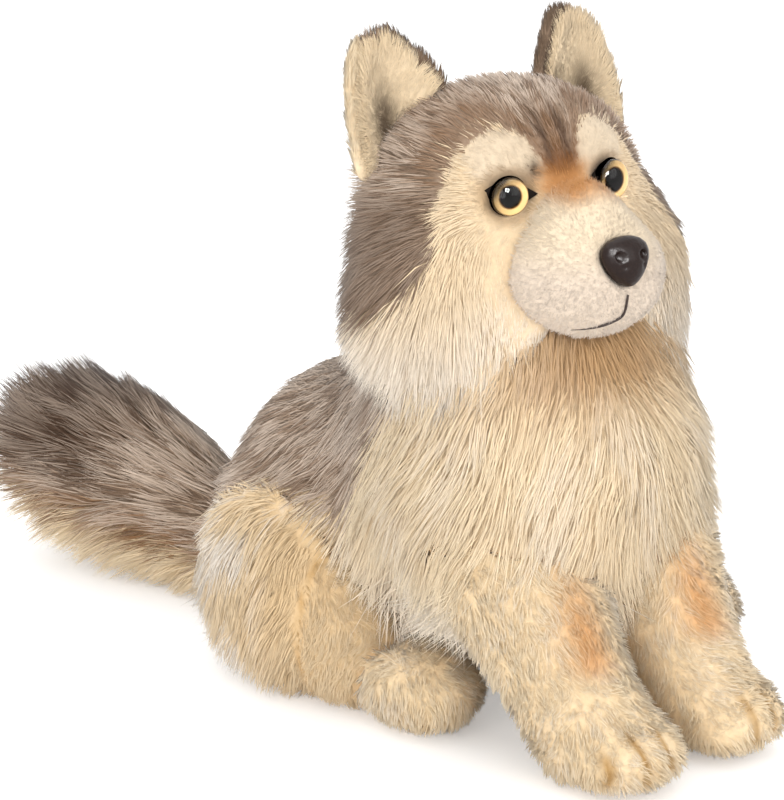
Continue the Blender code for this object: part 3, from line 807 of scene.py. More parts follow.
    def grow(self, name: str, cloth: bpy.types.Object, pile: Pile, where: Where | None) -> None:
        """Grows a pile on a cushion.

        Args:
            name: The name of the piece of pile.
            cloth: The cloth that it grows on.
            pile: How it grows.
            where: Says which places belong to this pile, or None for all.
        """
        points, normals = self.scatter(cloth.data, pile.count, where)
        hairs = len(points)
        length = pile.share * self.lengths(points) * (1 + pile.spread * self.draw.uniform(-1, 1, hairs))
        wander = pile.wave * (1.3 * ripples(points, 26 * MM) + ripples(points, 9 * MM)
                              + 0.5 * ripples(points, 3.5 * MM))
        wander += pile.stray * self.draw.normal(size=(hairs, 3))
        combed = self.comb(points, normals)
        lift = np.clip(np.sum(combed * normals, axis=1), 0.0, 0.6)[:, None]
        way = flattened(combed + wander, normals)
        root = points - normals * ROOT_DEPTH
        rise = np.clip(pile.rise * (1 + 0.25 * self.draw.normal(size=hairs)), 0.05, 0.95)[:, None]
        lie = (pile.lie * (1 + 0.4 * self.draw.normal(size=hairs)))[:, None] + lift
        bend = root + length[:, None] * 0.5 * unit(normals * rise + way * (1 - rise))
        tip = root + length[:, None] * unit(normals * lie + way)
        tip[:, 2] -= pile.droop * length
        if pile.clump:
            bend, tip = self.clumped(root, bend, tip, pile)
        self.part_hairs(bend, tip)
        roots, tips = self.tones(points)
        # Painted shade: under hair is darkened toward its roots.
        tips = blend(tips, roots, pile.deep)
        shade = 1 + pile.tone_spread * self.draw.normal(size=(hairs, 1))
        width = pile.width * (0.75 + 0.5 * self.draw.random(hairs))
        thing = hair_mesh(
            name, HairShape.of_kind(pile.kind), (root, bend, tip), self.lit(normals), width,
            (roots * shade, tips * shade)
        )
        thing.data.materials.append(PILE)
        thing.visible_shadow = False
        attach(thing, BODY)
        LOG.info("%s: %d hairs", name, hairs)

    def part_hairs(self, bend: Array, tip: Array) -> None:
        """Moves hairs away from what they mustn't cover; a plain piece has nothing to keep clear."""

    def scatter(self, mesh: bpy.types.Mesh, count: int, where: Where | None) -> tuple[Array, Array]:
        """Chooses where hairs grow, evenly by area.

        Args:
            mesh: The cushion's mesh.
            count: How many hairs are wanted.
            where: Says which places belong to this pile, or None for all.

        Returns:
            The roots' places and normals.
        """
        corners = triangles_of(mesh)
        points, normals = places(mesh), normals_of(mesh)
        first, second, third = (points[corners[:, i]] for i in range(3))
        middles = (first + second + third) / 3
        cross = np.cross(second - first, third - first)
        facing, area = unit(cross), np.linalg.norm(cross, axis=1) / 2
        wanted = self.keep(middles)
        if where is not None:
            wanted &= where(middles)
        wanted &= ~((middles[:, 2] < BED_HEIGHT) & (facing[:, 2] < -0.7))
        chosen = np.flatnonzero(wanted)
        lifted = middles[chosen] + facing[chosen] * 0.2 * MM
        chosen = chosen[self.around.open_share(lifted, facing[chosen], self.node, BURIED_REACH) > 0.5]
        share = area[chosen] / area[chosen].sum()
        faces = chosen[self.draw.choice(len(chosen), count, p=share)]
        one, two = self.draw.random((2, count))
        fold = one + two > 1
        one[fold], two[fold] = 1 - one[fold], 1 - two[fold]
        weights = np.stack([1 - one - two, one, two], axis=1)[:, :, None]
        grown_at = np.sum(points[corners[faces]] * weights, axis=1)
        grown_way = unit(np.sum(normals[corners[faces]] * weights, axis=1))
        kept = self.keep(grown_at)
        return grown_at[kept], grown_way[kept]

    def clumped(self, root: Array, bend: Array, tip: Array, pile: Pile) -> tuple[Array, Array]:
        """Draws hairs together into locks.

        Args:
            root: The hairs' roots.
            bend: The hairs' bends.
            tip: The hairs' tips.
            pile: How strongly and in what numbers they gather.

        Returns:
            The moved bends and tips.
        """
        for size, strength in ((pile.clump_size * 9, pile.tuft), (pile.clump_size, pile.clump)):
            leaders = self.draw.choice(len(root), max(1, len(root) // size), replace=False)
            tree = KDTree(len(leaders))
            for number, leader in enumerate(leaders):
                tree.insert(root[leader], number)
            tree.balance()
            nearest = leaders[[tree.find(place)[1] for place in root]]
            pull = strength * self.draw.uniform(0.5, 1.2, len(root))[:, None]
            gathered = tip[nearest] + (root - root[nearest]) * 0.3
            bend, tip = bend + (bend[nearest] - bend) * pull * 0.35, tip + (gathered - tip) * pull
        return bend, tip


def hair_mesh(name: str, shape: HairShape, curve: tuple[Array, Array, Array], facing: Array, width: Array,
              tones: Tones) -> bpy.types.Object:
    """Repeats one hair along many curves, and shades each as part of the cloth that it grows on.

    Args:
        name: The name of the piece.
        shape: The hair that is repeated.
        curve: The roots, bends and tips.
        facing: The cloth's normals at the roots.
        width: Each hair's width.
        tones: The colours at each root and tip.

    Returns:
        The piece, at the origin.
    """
    facing = unit(facing * np.where(facing < 0, UNDERSIDE_LIFT, (1.0, 1.0, 1.0)))
    root, bend, tip = (np.maximum(places_on, (-9, -9, FLOOR_CLEARANCE)) for places_on in curve)
    way = unit(tip - root)
    side = unit(np.cross(way, bend - root + 1e-7))
    other = unit(np.cross(way, side))
    count, corners = len(root), len(shape.along)
    points = np.empty((count, corners, 3))
    colours = np.empty((count, corners, 3))
    shading = np.empty((count, corners, 3))
    for i, along in enumerate(shape.along):
        middle = (1 - along) ** 2 * root + 2 * along * (1 - along) * bend + along**2 * tip
        offset = side * shape.across[i, 0] + other * shape.across[i, 1]
        points[:, i] = middle + offset * width[:, None]
        # Each hair runs from its root colour to its tip colour. The darker roots are partly the pile's own
        # colour and partly painted shade between the locks, as the hairs cast no shadows.
        colours[:, i] = blend(tones[0], tones[1], np.full(count, min(1.0, along * 1.2)))
        shading[:, i] = unit(facing + SHADING_ROUNDNESS * offset)
    points[:, :, 2] = np.maximum(points[:, :, 2], FLOOR_CLEARANCE / 2)
    loops = (shape.loops[None, :] + np.arange(count)[:, None] * corners).ravel()
    totals = np.tile(shape.totals, count)
    mesh = bpy.data.meshes.new(name)
    mesh.vertices.add(count * corners)
    mesh.vertices.foreach_set("co", points.astype(np.float32).ravel())
    mesh.loops.add(len(loops))
    mesh.loops.foreach_set("vertex_index", loops.astype(np.int32))
    mesh.polygons.add(len(totals))
    mesh.polygons.foreach_set("loop_start", (np.cumsum(totals) - totals).astype(np.int32))
    mesh.update(calc_edges=True)
    mesh.shade_smooth()
    mesh.normals_split_custom_set_from_vertices(shading.reshape(-1, 3).tolist())
    paint(mesh, np.clip(colours.reshape(-1, 3), 0.0, 1.0))
    lay_out(mesh, shape, count)
    return mesh_object(name, mesh)


def lay_out(mesh: bpy.types.Mesh, shape: HairShape, count: int) -> None:
    """Gives each hair its own cell of the bake's map: its length up the cell, its sides across it.

    Args:
        mesh: The mesh of many hairs.
        shape: The hair that it repeats.
        count: How many there are.
    """
    columns = math.ceil(math.sqrt(count))
    cells = np.arange(count)
    turn = (np.arctan2(shape.across[:, 1], shape.across[:, 0]) / (2 * math.pi)) % 1.0
    spot = np.stack([0.1 + 0.8 * turn, 0.1 + 0.8 * shape.along], axis=1)[shape.loops]
    corner = np.stack([cells % columns, cells // columns], axis=1)
    layer = mesh.uv_layers.new(name=BAKE_MAP)
    layer.data.foreach_set("uv", ((corner[:, None] + spot[None]) / columns).astype(np.float32).ravel())


PILE = PileFinish("pile_hair").material()
CLOTH = PileFinish("pile_cloth", roughness=0.9, grain=450.0, grain_depth=0.2, bump=0.6).material()


class Head(StuffedPiece):
    """The head: a grey crown round a cream mask with pale brows, and a deep white ruff."""

    node = "head"
    voxel = 4.2 * MM
    full_length = 20.0 * MM
    inset_share = 0.19

    def depth(self, points: Array) -> Array:
        """How far each place lies inside the grey, in millimetres."""
        left, front, up = self.marks.on_head(points)
        edge = np.interp(np.abs(left), MASK_SIDE, MASK_TOP)
        behind = np.minimum(-front - 30, np.maximum((up + 36) * 0.8, -front - 48))
        return np.maximum((up - edge) * 0.8, behind)

    def brows(self, points: Array) -> Array:
        """How far each place lies in a pale brow, from 0 to 1."""
        left, _, up = self.marks.on_head(points)
        away = np.hypot((np.abs(left) - 18.0) / 12.0, (up - 10.0) / 8.5)
        return smoothstep(1.15, 0.85, away)

    def tones(self, points: Array) -> Tones:
        """Cream, grey, a brown border, pale brows and an orange furrow."""
        left, front, up = self.marks.on_head(points)
        depth = self.depth(points) + self.draw.normal(size=len(points)) * 0.6
        grey = smoothstep(-1.0, 1.0, depth)[:, None]
        streak = self.locks(points, 3.5 * MM)
        tip = grey_tips(points, streak, smoothstep(0.68, 0.88, streak) * 0.8)
        border = np.exp(-((depth - 2.0) / 3.0) ** 2)
        above = smoothstep(-4, 6, up)
        side = smoothstep(6, -4, up) * smoothstep(-46, -38, up) * smoothstep(24, 8, depth)
        tip = blend(tip, BORDER_TIP, border * above * 0.85)
        tip = blend(tip, DARK_TIP, np.maximum(border * (1 - above) * 0.7, side * 0.7))
        white = smoothstep(-18, -42, up) * 0.8
        roots = np.where(grey > 0.5, GREY_ROOT, CREAM_ROOT * 0.94)
        warm = smoothstep(0.5, 0.9, self.locks(points * (1, 1, 0.4), 5 * MM)) * 0.5
        cream = blend(blend(everywhere(CHEEK_TIP, points), TAN_TIP, warm), WHITE_TIP, white)
        tips = np.where(grey > 0.5, tip, cream)
        brows = self.brows(points) * (grey[:, 0] < 0.5)
        roots, tips = blend(roots, BROW_TIP, brows * 0.9), blend(tips, BROW_TIP, brows * 0.9)
        band = np.exp(-((left / 11.0) ** 4)) * smoothstep(10, 6, up) * smoothstep(-3, 1, up)
        furrow = np.exp(-((left / 7.5) ** 4)) * smoothstep(13, 9, up) * smoothstep(3, 7, up)
        middle = np.exp(-((left / 7.0) ** 2)) * smoothstep(26, 16, up) * smoothstep(8, 12, up)
        dark = np.exp(-(((np.abs(left) - 3.6) / 1.6) ** 2)) * smoothstep(7, 11, up) * smoothstep(25, 17, up)
        tuft = np.exp(-(((left + 10.4) / 2.3) ** 2 + ((up - 7.3) / 3.0) ** 2))
        face = smoothstep(-36, -26, front)
        ring = np.zeros(len(points))
        for eye in self.marks.eyes:
            along, rise, _ = eye.local(points)
            ring = np.maximum(ring, smoothstep(10.5 * MM, 6.5 * MM, np.hypot(along * 0.85, rise)))
        layers = ((band * 0.95, BRIDGE_TAN), (middle * 0.7, BORDER_TIP), (furrow * 0.85, FURROW_BROWN),
                  (dark * 0.85, DARK_TIP), (ring * 0.55, EYE_RING), (tuft * 0.95, DARK_TIP * 0.4))
        for share, colour in layers:
            roots, tips = blend(roots, colour, share * face), blend(tips, colour, share * face)
        return roots, tips

    def comb(self, points: Array, normals: Array) -> Array:
        """Away from the bridge of the nose, back over the crown, and down at the cheeks and ruff."""
        _, front, up = self.marks.on_head(points)
        centre = self.marks.brow + self.marks.forward * 8 * MM - np.array((0, 0, 6 * MM))
        away = unit(points - centre)
        drop = smoothstep(12, -34, up)[:, None]
        back = smoothstep(0, 30, -front)[:, None] * 0.5
        down = (0, 0, 0.15)
        return unit(away * (1.15 - 0.75 * drop) - self.marks.forward * back - down - drop * (0, 0, 1.1))

    def lengths(self, points: Array) -> Array:
        """Short on the face, longer over the crown and longest at the cheeks and ruff."""
        left, front, up = self.marks.on_head(points)
        muzzle = smoothstep(2, 20, self.around.distance("muzzle", points))
        eyes = np.ones(len(points))
        for eye in self.marks.eyes:
            along, rise, _ = eye.local(points)
            eyes = np.minimum(eyes, smoothstep(8 * MM, 17 * MM, np.hypot(along, rise)))
        eyes = np.maximum(eyes, smoothstep(-26, -36, front))
        depth = self.depth(points)
        edge = smoothstep(-8, -2, depth) * (depth < 0) * smoothstep(-6, 4, up)
        bare = muzzle * eyes * (1 - self.brows(points) * 0.9) * (1 - 0.8 * edge)
        side, low = smoothstep(22, 44, np.abs(left)), smoothstep(-14, -40, up)
        return MM * np.minimum(20.0, 2.2 + bare * (4.5 + 4.5 * side + 6.5 * low))

    def keep(self, points: Array) -> Array:
        """Leaves the eyes clear."""
        right, left = (eye.covered(points, 0.4 * MM) for eye in self.marks.eyes)
        return ~(right | left)

    def shaped(self, points: Array) -> Array:
        """Sinks the cloth behind the felt of each eye."""
        for eye in self.marks.eyes:
            _, _, depth = eye.local(points)
            over = eye.covered(points, 1.2 * MM) & (depth > eye.felt_top - 0.6 * MM)
            points[over] -= np.outer(depth[over] - (eye.felt_top - 0.6 * MM), eye.axis)
        return points

    def part_hairs(self, bend: Array, tip: Array) -> None:
        """Pushes hairs off the eyes."""
        for eye in self.marks.eyes:
            for moved in (bend, tip):
                along, rise, _ = eye.local(moved)
                reach = np.hypot(along, rise)
                near = eye.covered(moved, 0.2 * MM)
                outward = np.outer(along, eye.across) + np.outer(rise, eye.rise)
                outward = outward / np.maximum(reach, 1e-6)[:, None]
                moved[near] += outward[near] * np.maximum(eye.radius + 0.8 * MM - reach, 0.5 * MM)[near, None]

    def growths(self) -> Iterator[Growth]:
        """Long guard hair over short under hair, on the grey crown and on the cream cheeks."""
        guard = Pile(count=12500, width=0.45 * MM, clump=0.36, tuft=0.22, lie=0.22)
        under = replace(UNDER_PILE, width=0.55 * MM, lie=0.25)
        regions = (("crown", "grey_pile", lambda points: self.depth(points) > 0),
                   ("cheek", "cream_pile", lambda points: self.depth(points) <= 0))
        for word, slot, where in regions:
            yield word + "_guard", slot, guard, where
            yield word + "_under", slot, under, where


class Torso(StuffedPiece):
    """The body: a grey saddle over the back and a cream chest and flanks."""

    node = "torso"
    voxel = 5.8 * MM
    full_length = 17.0 * MM

    def depth(self, points: Array) -> Array:
        """How far each place lies inside the saddle, in millimetres."""
        back, up = self.back(points), points[:, 2] / MM
        edge = back - 94 + (up - 66) * 0.566
        floor = up - np.interp(back, SADDLE_BACK, SADDLE_FLOOR)
        return np.minimum(edge, floor * 1.3)

    def tones(self, points: Array) -> Tones:
        """Grey with dark and pale hairs on the saddle; cream elsewhere, painted shade at the neck, white low
        down.
        """
        depth = self.depth(points) + self.draw.normal(size=len(points)) * 2.0
        grey = (depth > 0)[:, None]
        streak = self.locks(points * (1, 0.5, 0.5), 3.5 * MM)
        tip = grey_tips(points, streak, smoothstep(0.72, 0.9, streak) * 0.55)
        up, back = points[:, 2] / MM, self.back(points)
        white = smoothstep(72, 40, up) * smoothstep(110, 70, back)
        side = points[:, 0] / MM - self.marks.middle / MM
        # Painted shade: the neck under the head and ruff is darkened to a tan shade.
        neck_shade = smoothstep(112, 132, up) * smoothstep(50, 25, back) * np.exp(-((side / 42) ** 2))
        lock = smoothstep(0.5, 0.95, self.locks(points * (1, 1, 0.35), 5 * MM)) * 0.6
        pale = np.maximum(white * 0.9, smoothstep(0.6, 0.9, self.locks(points * (1, 1, 0.4), 13 * MM)) * 0.45)
        tips = blend(blend(everywhere(CREAM_TIP, points), TAN_TIP, lock), WHITE_TIP, pale)
        roots = blend(everywhere(CREAM_ROOT, points), WHITE_TIP, white * 0.5)
        roots = blend(roots, NECK_SHADE, neck_shade * 0.8)
        tips = blend(tips, NECK_SHADE, neck_shade * 0.75)
        return np.where(grey, GREY_ROOT, roots), np.where(grey, tip, tips)

    def comb(self, points: Array, normals: Array) -> Array:
        """Down the back and flanks, and down and outward from the neck on the chest."""
        side = np.clip((points[:, 0] - self.marks.middle) / (40 * MM), -1, 1)[:, None]
        rear = smoothstep(66, 116, self.back(points))[:, None]
        chest = (0, 0, -1.0) + side * (0.8, 0, 0)
        low = smoothstep(75, 50, points[:, 2] / MM)[:, None] * (1 - rear)
        right, left = (self.around.distance("haunch_" + word, points) for word in ("right", "left"))
        over = smoothstep(14, 3, np.minimum(right, left))[:, None] * rear
        return unit(chest * (1 - rear) + np.array((0, 0.9, -0.75)) * rear + side * (1.4, 0, 0) * over
                    + normals * 0.5 * low)

    def lengths(self, points: Array) -> Array:
        """Shorter on the saddle than on the chest, and longest at the foot of the flanks."""
        low = smoothstep(70, 45, points[:, 2] / MM)
        return self.full_length * np.where(self.depth(points) > 0, 0.72, 1.0 + 0.45 * low)

    def growths(self) -> Iterator[Growth]:
        """Long guard hair over short under hair, on the grey saddle and on the cream chest."""
        guard = Pile(count=10800, width=0.50 * MM, clump=0.36, tuft=0.22, lie=0.20, wave=0.35)
        under = replace(UNDER_PILE, lie=0.22, clump=0.3)
        regions = (("saddle", "grey_pile", 10800, lambda points: self.depth(points) > 0),
                   ("chest", "cream_pile", 16700, lambda points: self.depth(points) <= 0))
        for word, slot, count, where in regions:
            yield word + "_guard", slot, replace(guard, count=count), where
            yield word + "_under", slot, under, where


class Tail(StuffedPiece):
    """The brush of the tail: dark-streaked grey over a tan and cream underside."""

    node = "tail"
    full_length = 23.0 * MM
    slot = "grey_pile"

    def __init__(self, marks: Landmarks, around: Surroundings, seed: int) -> None:
        """Finds the tail's own axis as well."""
        super().__init__(marks, around, seed)
        points = places(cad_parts["tail"].data)
        self.near = points[points[:, 1] < self.low[1] + 30 * MM].mean(axis=0)
        far = points[points[:, 1] > self.high[1] - 40 * MM].mean(axis=0)
        self.axis = unit(far - self.near)

    def along(self, points: Array) -> Array:
        """Where each place lies on the tail's length, from 0 to 1."""
        return (points[:, 1] - self.low[1]) / (self.high[1] - self.low[1])

    def tones(self, points: Array) -> Tones:
        """Grey and dark streaks above, tan and cream below, and a dark tip."""
        run = (points - self.near) @ self.axis
        centre = self.near + self.axis * run[:, None]
        height = (points[:, 2] - centre[:, 2]) / MM + self.draw.normal(size=len(points)) * 2.5
        under = smoothstep(-3, -12, height)
        drawn_out = points - self.axis * (0.7 * run)[:, None]
        streak = self.locks(drawn_out, 4.0 * MM)
        tip = grey_tips(points, streak, smoothstep(0.68, 0.85, streak) * 0.9)
        dark = smoothstep(0.42, 0.62, self.along(points)) * smoothstep(-2, 10, height)
        dark = dark * (0.6 + 0.4 * smoothstep(0.3, 0.6, streak))
        tip = blend(tip, DARK_TIP * 0.8, dark)
        edge = np.exp(-(((height + 5) / 4.0) ** 2))
        roots = blend(everywhere(GREY_ROOT, points), DARK_TIP, dark * 0.9)
        roots = blend(blend(roots, BORDER_TIP, edge * 0.9), TAN_ROOT, under)
        return roots, blend(blend(tip, BORDER_TIP, edge * 0.85), CREAM_TIP, under)

    def comb(self, points: Array, normals: Array) -> Array:
        """Along the tail to its tip, where the hairs fan out, and down at its underside."""
        fan = smoothstep(0.6, 1.0, self.along(points))[:, None]
        down = smoothstep(0.1, -0.7, normals[:, 2])[:, None]
        return everywhere(self.axis, points) + normals * (0.1 + 0.5 * fan) - down * (0, 0, 0.8)

    def lengths(self, points: Array) -> Array:
        """Longer towards the tip."""
        return self.full_length * (0.60 + 0.40 * smoothstep(0.1, 0.7, self.along(points)))

    def growths(self) -> Iterator[Growth]:
        """Long guard hair in large locks over short under hair."""
        yield "tail_guard", self.slot, Pile(count=15000, width=0.50 * MM, clump=0.6, clump_size=16, lie=0.24,
                                            droop=0.04, spread=0.4, wave=0.35), None
        yield "tail_under", self.slot, replace(UNDER_PILE, count=5500, width=0.68 * MM, lie=0.22), None


class Haunch(StuffedPiece):
    """A thigh of long pale pile that meets a short curly knee at a brown seam."""

    node = "haunch_"
    full_length = 13.0 * MM
    inset_share = 0.14
    slot = "tan_pile"
    seam_back: float = 24.0 * MM

    def behind(self, points: Array) -> Array:
        """How far each place lies behind the knee's seam, in millimetres."""
        return (points[:, 1] - self.low[1] - self.seam_back) / MM + (points[:, 2] / MM - 35) * 0.12

    def tones(self, points: Array) -> Tones:
        """Pale tan, yellower beside the seam, with white locks low down at the back."""
        behind, up = self.behind(points), points[:, 2] / MM
        warm = np.exp(-(((behind - 6) / 16) ** 2) - ((up - 46) / 24) ** 2) * 0.75
        lock = smoothstep(0.5, 0.9, self.locks(points * (1, 1, 0.4), 5 * MM)) * 0.4
        white = smoothstep(8, 26, behind) * smoothstep(0.45, 0.75, self.locks(points * (1, 1, 0.4), 9 * MM))
        seam = np.exp(-((behind / 0.9) ** 2)) * 0.7
        tips = blend(blend(everywhere(TAN_TIP, points), TAN_ROOT, np.maximum(warm, lock)), WHITE_TIP, white)
        roots = blend(everywhere(TAN_ROOT, points), WHITE_TIP, white * 0.4)
        return blend(roots, SEAM_BROWN_AND_CREASE_SHADE, seam), blend(tips, SEAM_BROWN_AND_CREASE_SHADE, seam)

    def comb(self, points: Array, normals: Array) -> Array:
        """Back and down over the thigh, and in over the body at its edge."""
        edge = smoothstep(9, 2, self.around.distance("torso", points))[:, None]
        inward = np.sign(self.marks.middle - points[:, :1]) * (1.0, 0.0, 0.0) + (0.0, 0.2, 0.5)
        return unit((0.0, 0.30, -1.0) * (1 - edge) + (inward + normals * 0.6) * edge)

    def lengths(self, points: Array) -> Array:
        """Long behind the seam, short on the knee and shortest at the seam."""
        behind = self.behind(points)
        deep = 1 - 0.7 * np.exp(-((behind / 1.6) ** 2))
        edge = smoothstep(8, 2, self.around.distance("torso", points))
        return self.full_length * (0.34 + 0.66 * smoothstep(1.0, 12.0, behind) * (1 - 0.6 * edge)) * deep

    def growths(self) -> Iterator[Growth]:
        """Long hair over short hair behind the seam, and curls on the knee."""
        word = self.node.removeprefix("haunch")
        long = Pile(count=4200, width=0.52 * MM, clump=0.5, lie=0.25, wave=0.4)
        short = replace(UNDER_PILE, count=3000, width=0.66 * MM)
        yield "thigh" + word, self.slot, long, lambda points: self.behind(points) > 0
        yield "thigh_under" + word, self.slot, short, lambda points: self.behind(points) > 0
        yield "knee" + word, self.slot, CURLY_PILE, lambda points: self.behind(points) <= 0


class HindFoot(StuffedPiece):
    """A hind foot of short curly pile."""

    node = "hind_foot_"
    full_length = 4.6 * MM
    slot = "tan_pile"
    voxel = 3.6 * MM
    count: int = 4200

    def tones(self, points: Array) -> Tones:
        """Pale paws."""
        lock = smoothstep(0.45, 0.9, self.locks(points, 4 * MM)) * 0.45
        pale = smoothstep(0.6, 0.9, self.locks(points, 11 * MM)) * 0.5
        roots = blend(everywhere(PAW_ROOT, points), TAN_ROOT, lock)
        return roots, blend(blend(everywhere(PAW_TIP, points), TAN_TIP, lock), WHITE_TIP, pale)

    def comb(self, points: Array, normals: Array) -> Array:
        """Down the leg and forward over the paw."""
        return everywhere(unit(np.array((0.0, -0.5, -0.8))), points)

    def growths(self) -> Iterator[Growth]:
        """Curls all over."""
        pile = replace(CURLY_PILE, count=self.count, width=0.68 * MM, tone_spread=0.04)
        yield self.node + "_pile", self.slot, pile, None


class Foreleg(HindFoot):
    """A foreleg: as a hind foot, with an orange airbrushed wrist and three creases between its toes."""

    node = "foreleg_"
    count = 9500
    crease_gap: float = 9.65 * MM
    crease_depth: float = 2.4 * MM

    def creases(self, points: Array) -> Array:
        """How far each place lies in a crease between two toes, from 0 to 1."""
        across = points[:, 0] - self.middle[0]
        nearest = np.clip(np.round(across / self.crease_gap), -1, 1) * self.crease_gap
        bow = points[:, 1] + np.abs(nearest) * 0.25
        front = smoothstep(self.low[1] + 19 * MM, self.low[1] + 12 * MM, bow)
        height = smoothstep(5 * MM, 9 * MM, points[:, 2]) * smoothstep(25 * MM, 20 * MM, points[:, 2])
        return np.exp(-(((across - nearest) / (1.3 * MM)) ** 2)) * front * height

    def shaped(self, points: Array) -> Array:
        """Presses the creases into the paw."""
        points[:, 1] += self.crease_depth * self.creases(points)
        return points

    def lengths(self, points: Array) -> Array:
        """Shorter in the creases."""
        return self.full_length * (1 - 0.7 * self.creases(points))

    def tones(self, points: Array) -> Tones:
        """Adds the orange of the wrist, which runs up the shin, and painted brown shade in the creases."""
        roots, tips = super().tones(points)
        shin = (points[:, 0] - self.middle[0]) / MM
        centre = 1.0 if "right" in self.node else -7.0
        inner = np.exp(-(((shin - centre) / 8) ** 2))
        warm = inner * np.exp(-(((self.back(points) - 29) / 12) ** 2)) * smoothstep(34, 42, points[:, 2] / MM)
        # Painted shade: the creases between the toes are darkened brown.
        crease_shade = self.creases(points) * 0.95
        roots, tips = blend(roots, ORANGE, warm * 0.8), blend(tips, ORANGE, warm * 0.65)
        return blend(roots, SEAM_BROWN_AND_CREASE_SHADE * 0.8, crease_shade), blend(tips, SEAM_BROWN_AND_CREASE_SHADE, crease_shade)


class Muzzle(StuffedPiece):
    """The muzzle's pouch of short velour, airbrushed orange on its bridge."""

    node = "muzzle"
    voxel = 2.4 * MM
    full_length = 1.7 * MM
    inset_least = 0.1 * MM
    slot = "cream_velour"
    swell = 0.6 * MM
    faces_front = True

    def tones(self, points: Array) -> Tones:
        """Pale velour with an orange bridge."""
        left, front, up = self.marks.on_head(points)
        warm = np.exp(-((left / 12) ** 4)) * smoothstep(-5, 2, up) * smoothstep(24, 12, front)
        cream = smoothstep(-24, -8, up)[:, None] * 0.8
        roots = blend(VELOUR_ROOT + (CREAM_TIP - VELOUR_ROOT) * cream, BRIDGE_TAN, warm)
        return roots, blend(VELOUR_TIP + (BROW_TIP - VELOUR_TIP) * cream, BRIDGE_TAN, warm * 0.9)

    def lengths(self, points: Array) -> Array:
        """Longer at the back of the bridge, so that it runs into the face."""
        _, front, up = self.marks.on_head(points)
        return self.full_length * (1 + 0.8 * smoothstep(18, 8, front) * smoothstep(-20, -8, up))

    def comb(self, points: Array, normals: Array) -> Array:
        """Back from the nose."""
        return unit(points - self.marks.nose)

    def keep(self, points: Array) -> Array:
        """Leaves the nose clear."""
        return np.linalg.norm(points - self.marks.nose, axis=1) > 5 * MM

    def growths(self) -> Iterator[Growth]:
        """Velour all over."""
        yield "muzzle_velour", self.slot, Pile(
            count=9500, width=0.46 * MM, kind=PileKind.SHORT, lie=0.5, stray=0.4, wave=0.2, clump=0.0,
            droop=0.0, tone_spread=0.015), None


class EarLayer(StuffedPiece):
    """One cloth layer of an ear."""

    cloth_tone = 0.5

    def cushion(self) -> bpy.types.Object:
        """Makes the layer as the frame holds it, with softer edges."""
        thing = mesh_object(self.node + "_cloth", merged_copy(self.node))
        self.dress(thing)
        return thing

    def comb(self, points: Array, normals: Array) -> Array:
        """Up the ear to its tip."""
        return everywhere(np.array((0.0, 0.0, 1.0)), points)

    def outward(self, points: Array) -> Array:
        """How far each place lies to the outer side of the ear's middle, in millimetres."""
        left, middle = (self.marks.on_head(place)[0] for place in (points, self.middle[None]))
        return (left - middle) * np.sign(middle)


class EarBack(EarLayer):
    """The grey back of an ear, dark along its inner edge."""

    node = "ear_back_"
    full_length = 4.5 * MM
    slot = "grey_pile"

    def tones(self, points: Array) -> Tones:
        """Dark at the inner edge, grey on the back and cream at the outer edge."""
        outward = self.outward(points)
        streak = self.locks(points, 3 * MM)
        tip = blend(everywhere(BROWN_TIP, points), DARK_TIP, smoothstep(0.4, 0.8, streak))
        inner, outer = smoothstep(3, -4, outward), smoothstep(4, 10, outward)
        roots = blend(everywhere(GREY_ROOT, points), CREAM_ROOT, outer)
        return roots, blend(blend(tip, EAR_RIM, inner * 0.8), CREAM_TIP, outer)

    def growths(self) -> Iterator[Growth]:
        """Short hair all over."""
        yield self.node + "_pile", self.slot, Pile(
            count=3400, width=0.52 * MM, kind=PileKind.SHORT, lie=0.3, droop=-0.03, clump=0.4), None


class EarLining(EarLayer):
    """The cream lining of an ear, with a brown airbrushed root."""

    node = "ear_lining_"
    full_length = 2.6 * MM
    slot = "cream_velour"
    faces_front = True

    def tones(self, points: Array) -> Tones:
        """Cream, with a brown shade low down in the middle."""
        outward = self.outward(points)
        up = points[:, 2] / MM - self.low[2] / MM
        shade = np.exp(-(((outward - 3.5) / 4.6) ** 2) - (np.maximum(up - 15.0, 0) / 8.0) ** 2)
        roots = blend(everywhere(LINING_TONE * 0.85, points), EAR_SHADE, shade * 0.95)
        return roots, blend(everywhere(LINING_TONE, points), EAR_SHADE, shade * 0.9)

    def lengths(self, points: Array) -> Array:
        """Longer at the rim, which it covers."""
        reach = (points - self.middle) / (self.high - self.middle)
        rim = smoothstep(0.6, 1.0, np.hypot(reach[:, 0], np.maximum(reach[:, 2], 0)))
        return self.full_length * (1 + 1.5 * rim)

    def comb(self, points: Array, normals: Array) -> Array:
        """Up and outward over the rim."""
        away = points - (self.middle - np.array((0, 0, 8 * MM)))
        return unit(away * (1, 0, 1))

    def growths(self) -> Iterator[Growth]:
        """Short hair all over, in small locks."""
        yield self.node + "_pile", self.slot, Pile(
            count=4000, width=0.52 * MM, kind=PileKind.SHORT, lie=0.4, droop=-0.03, clump=0.3, clump_size=8,
            stray=0.3, tone_spread=0.03), None


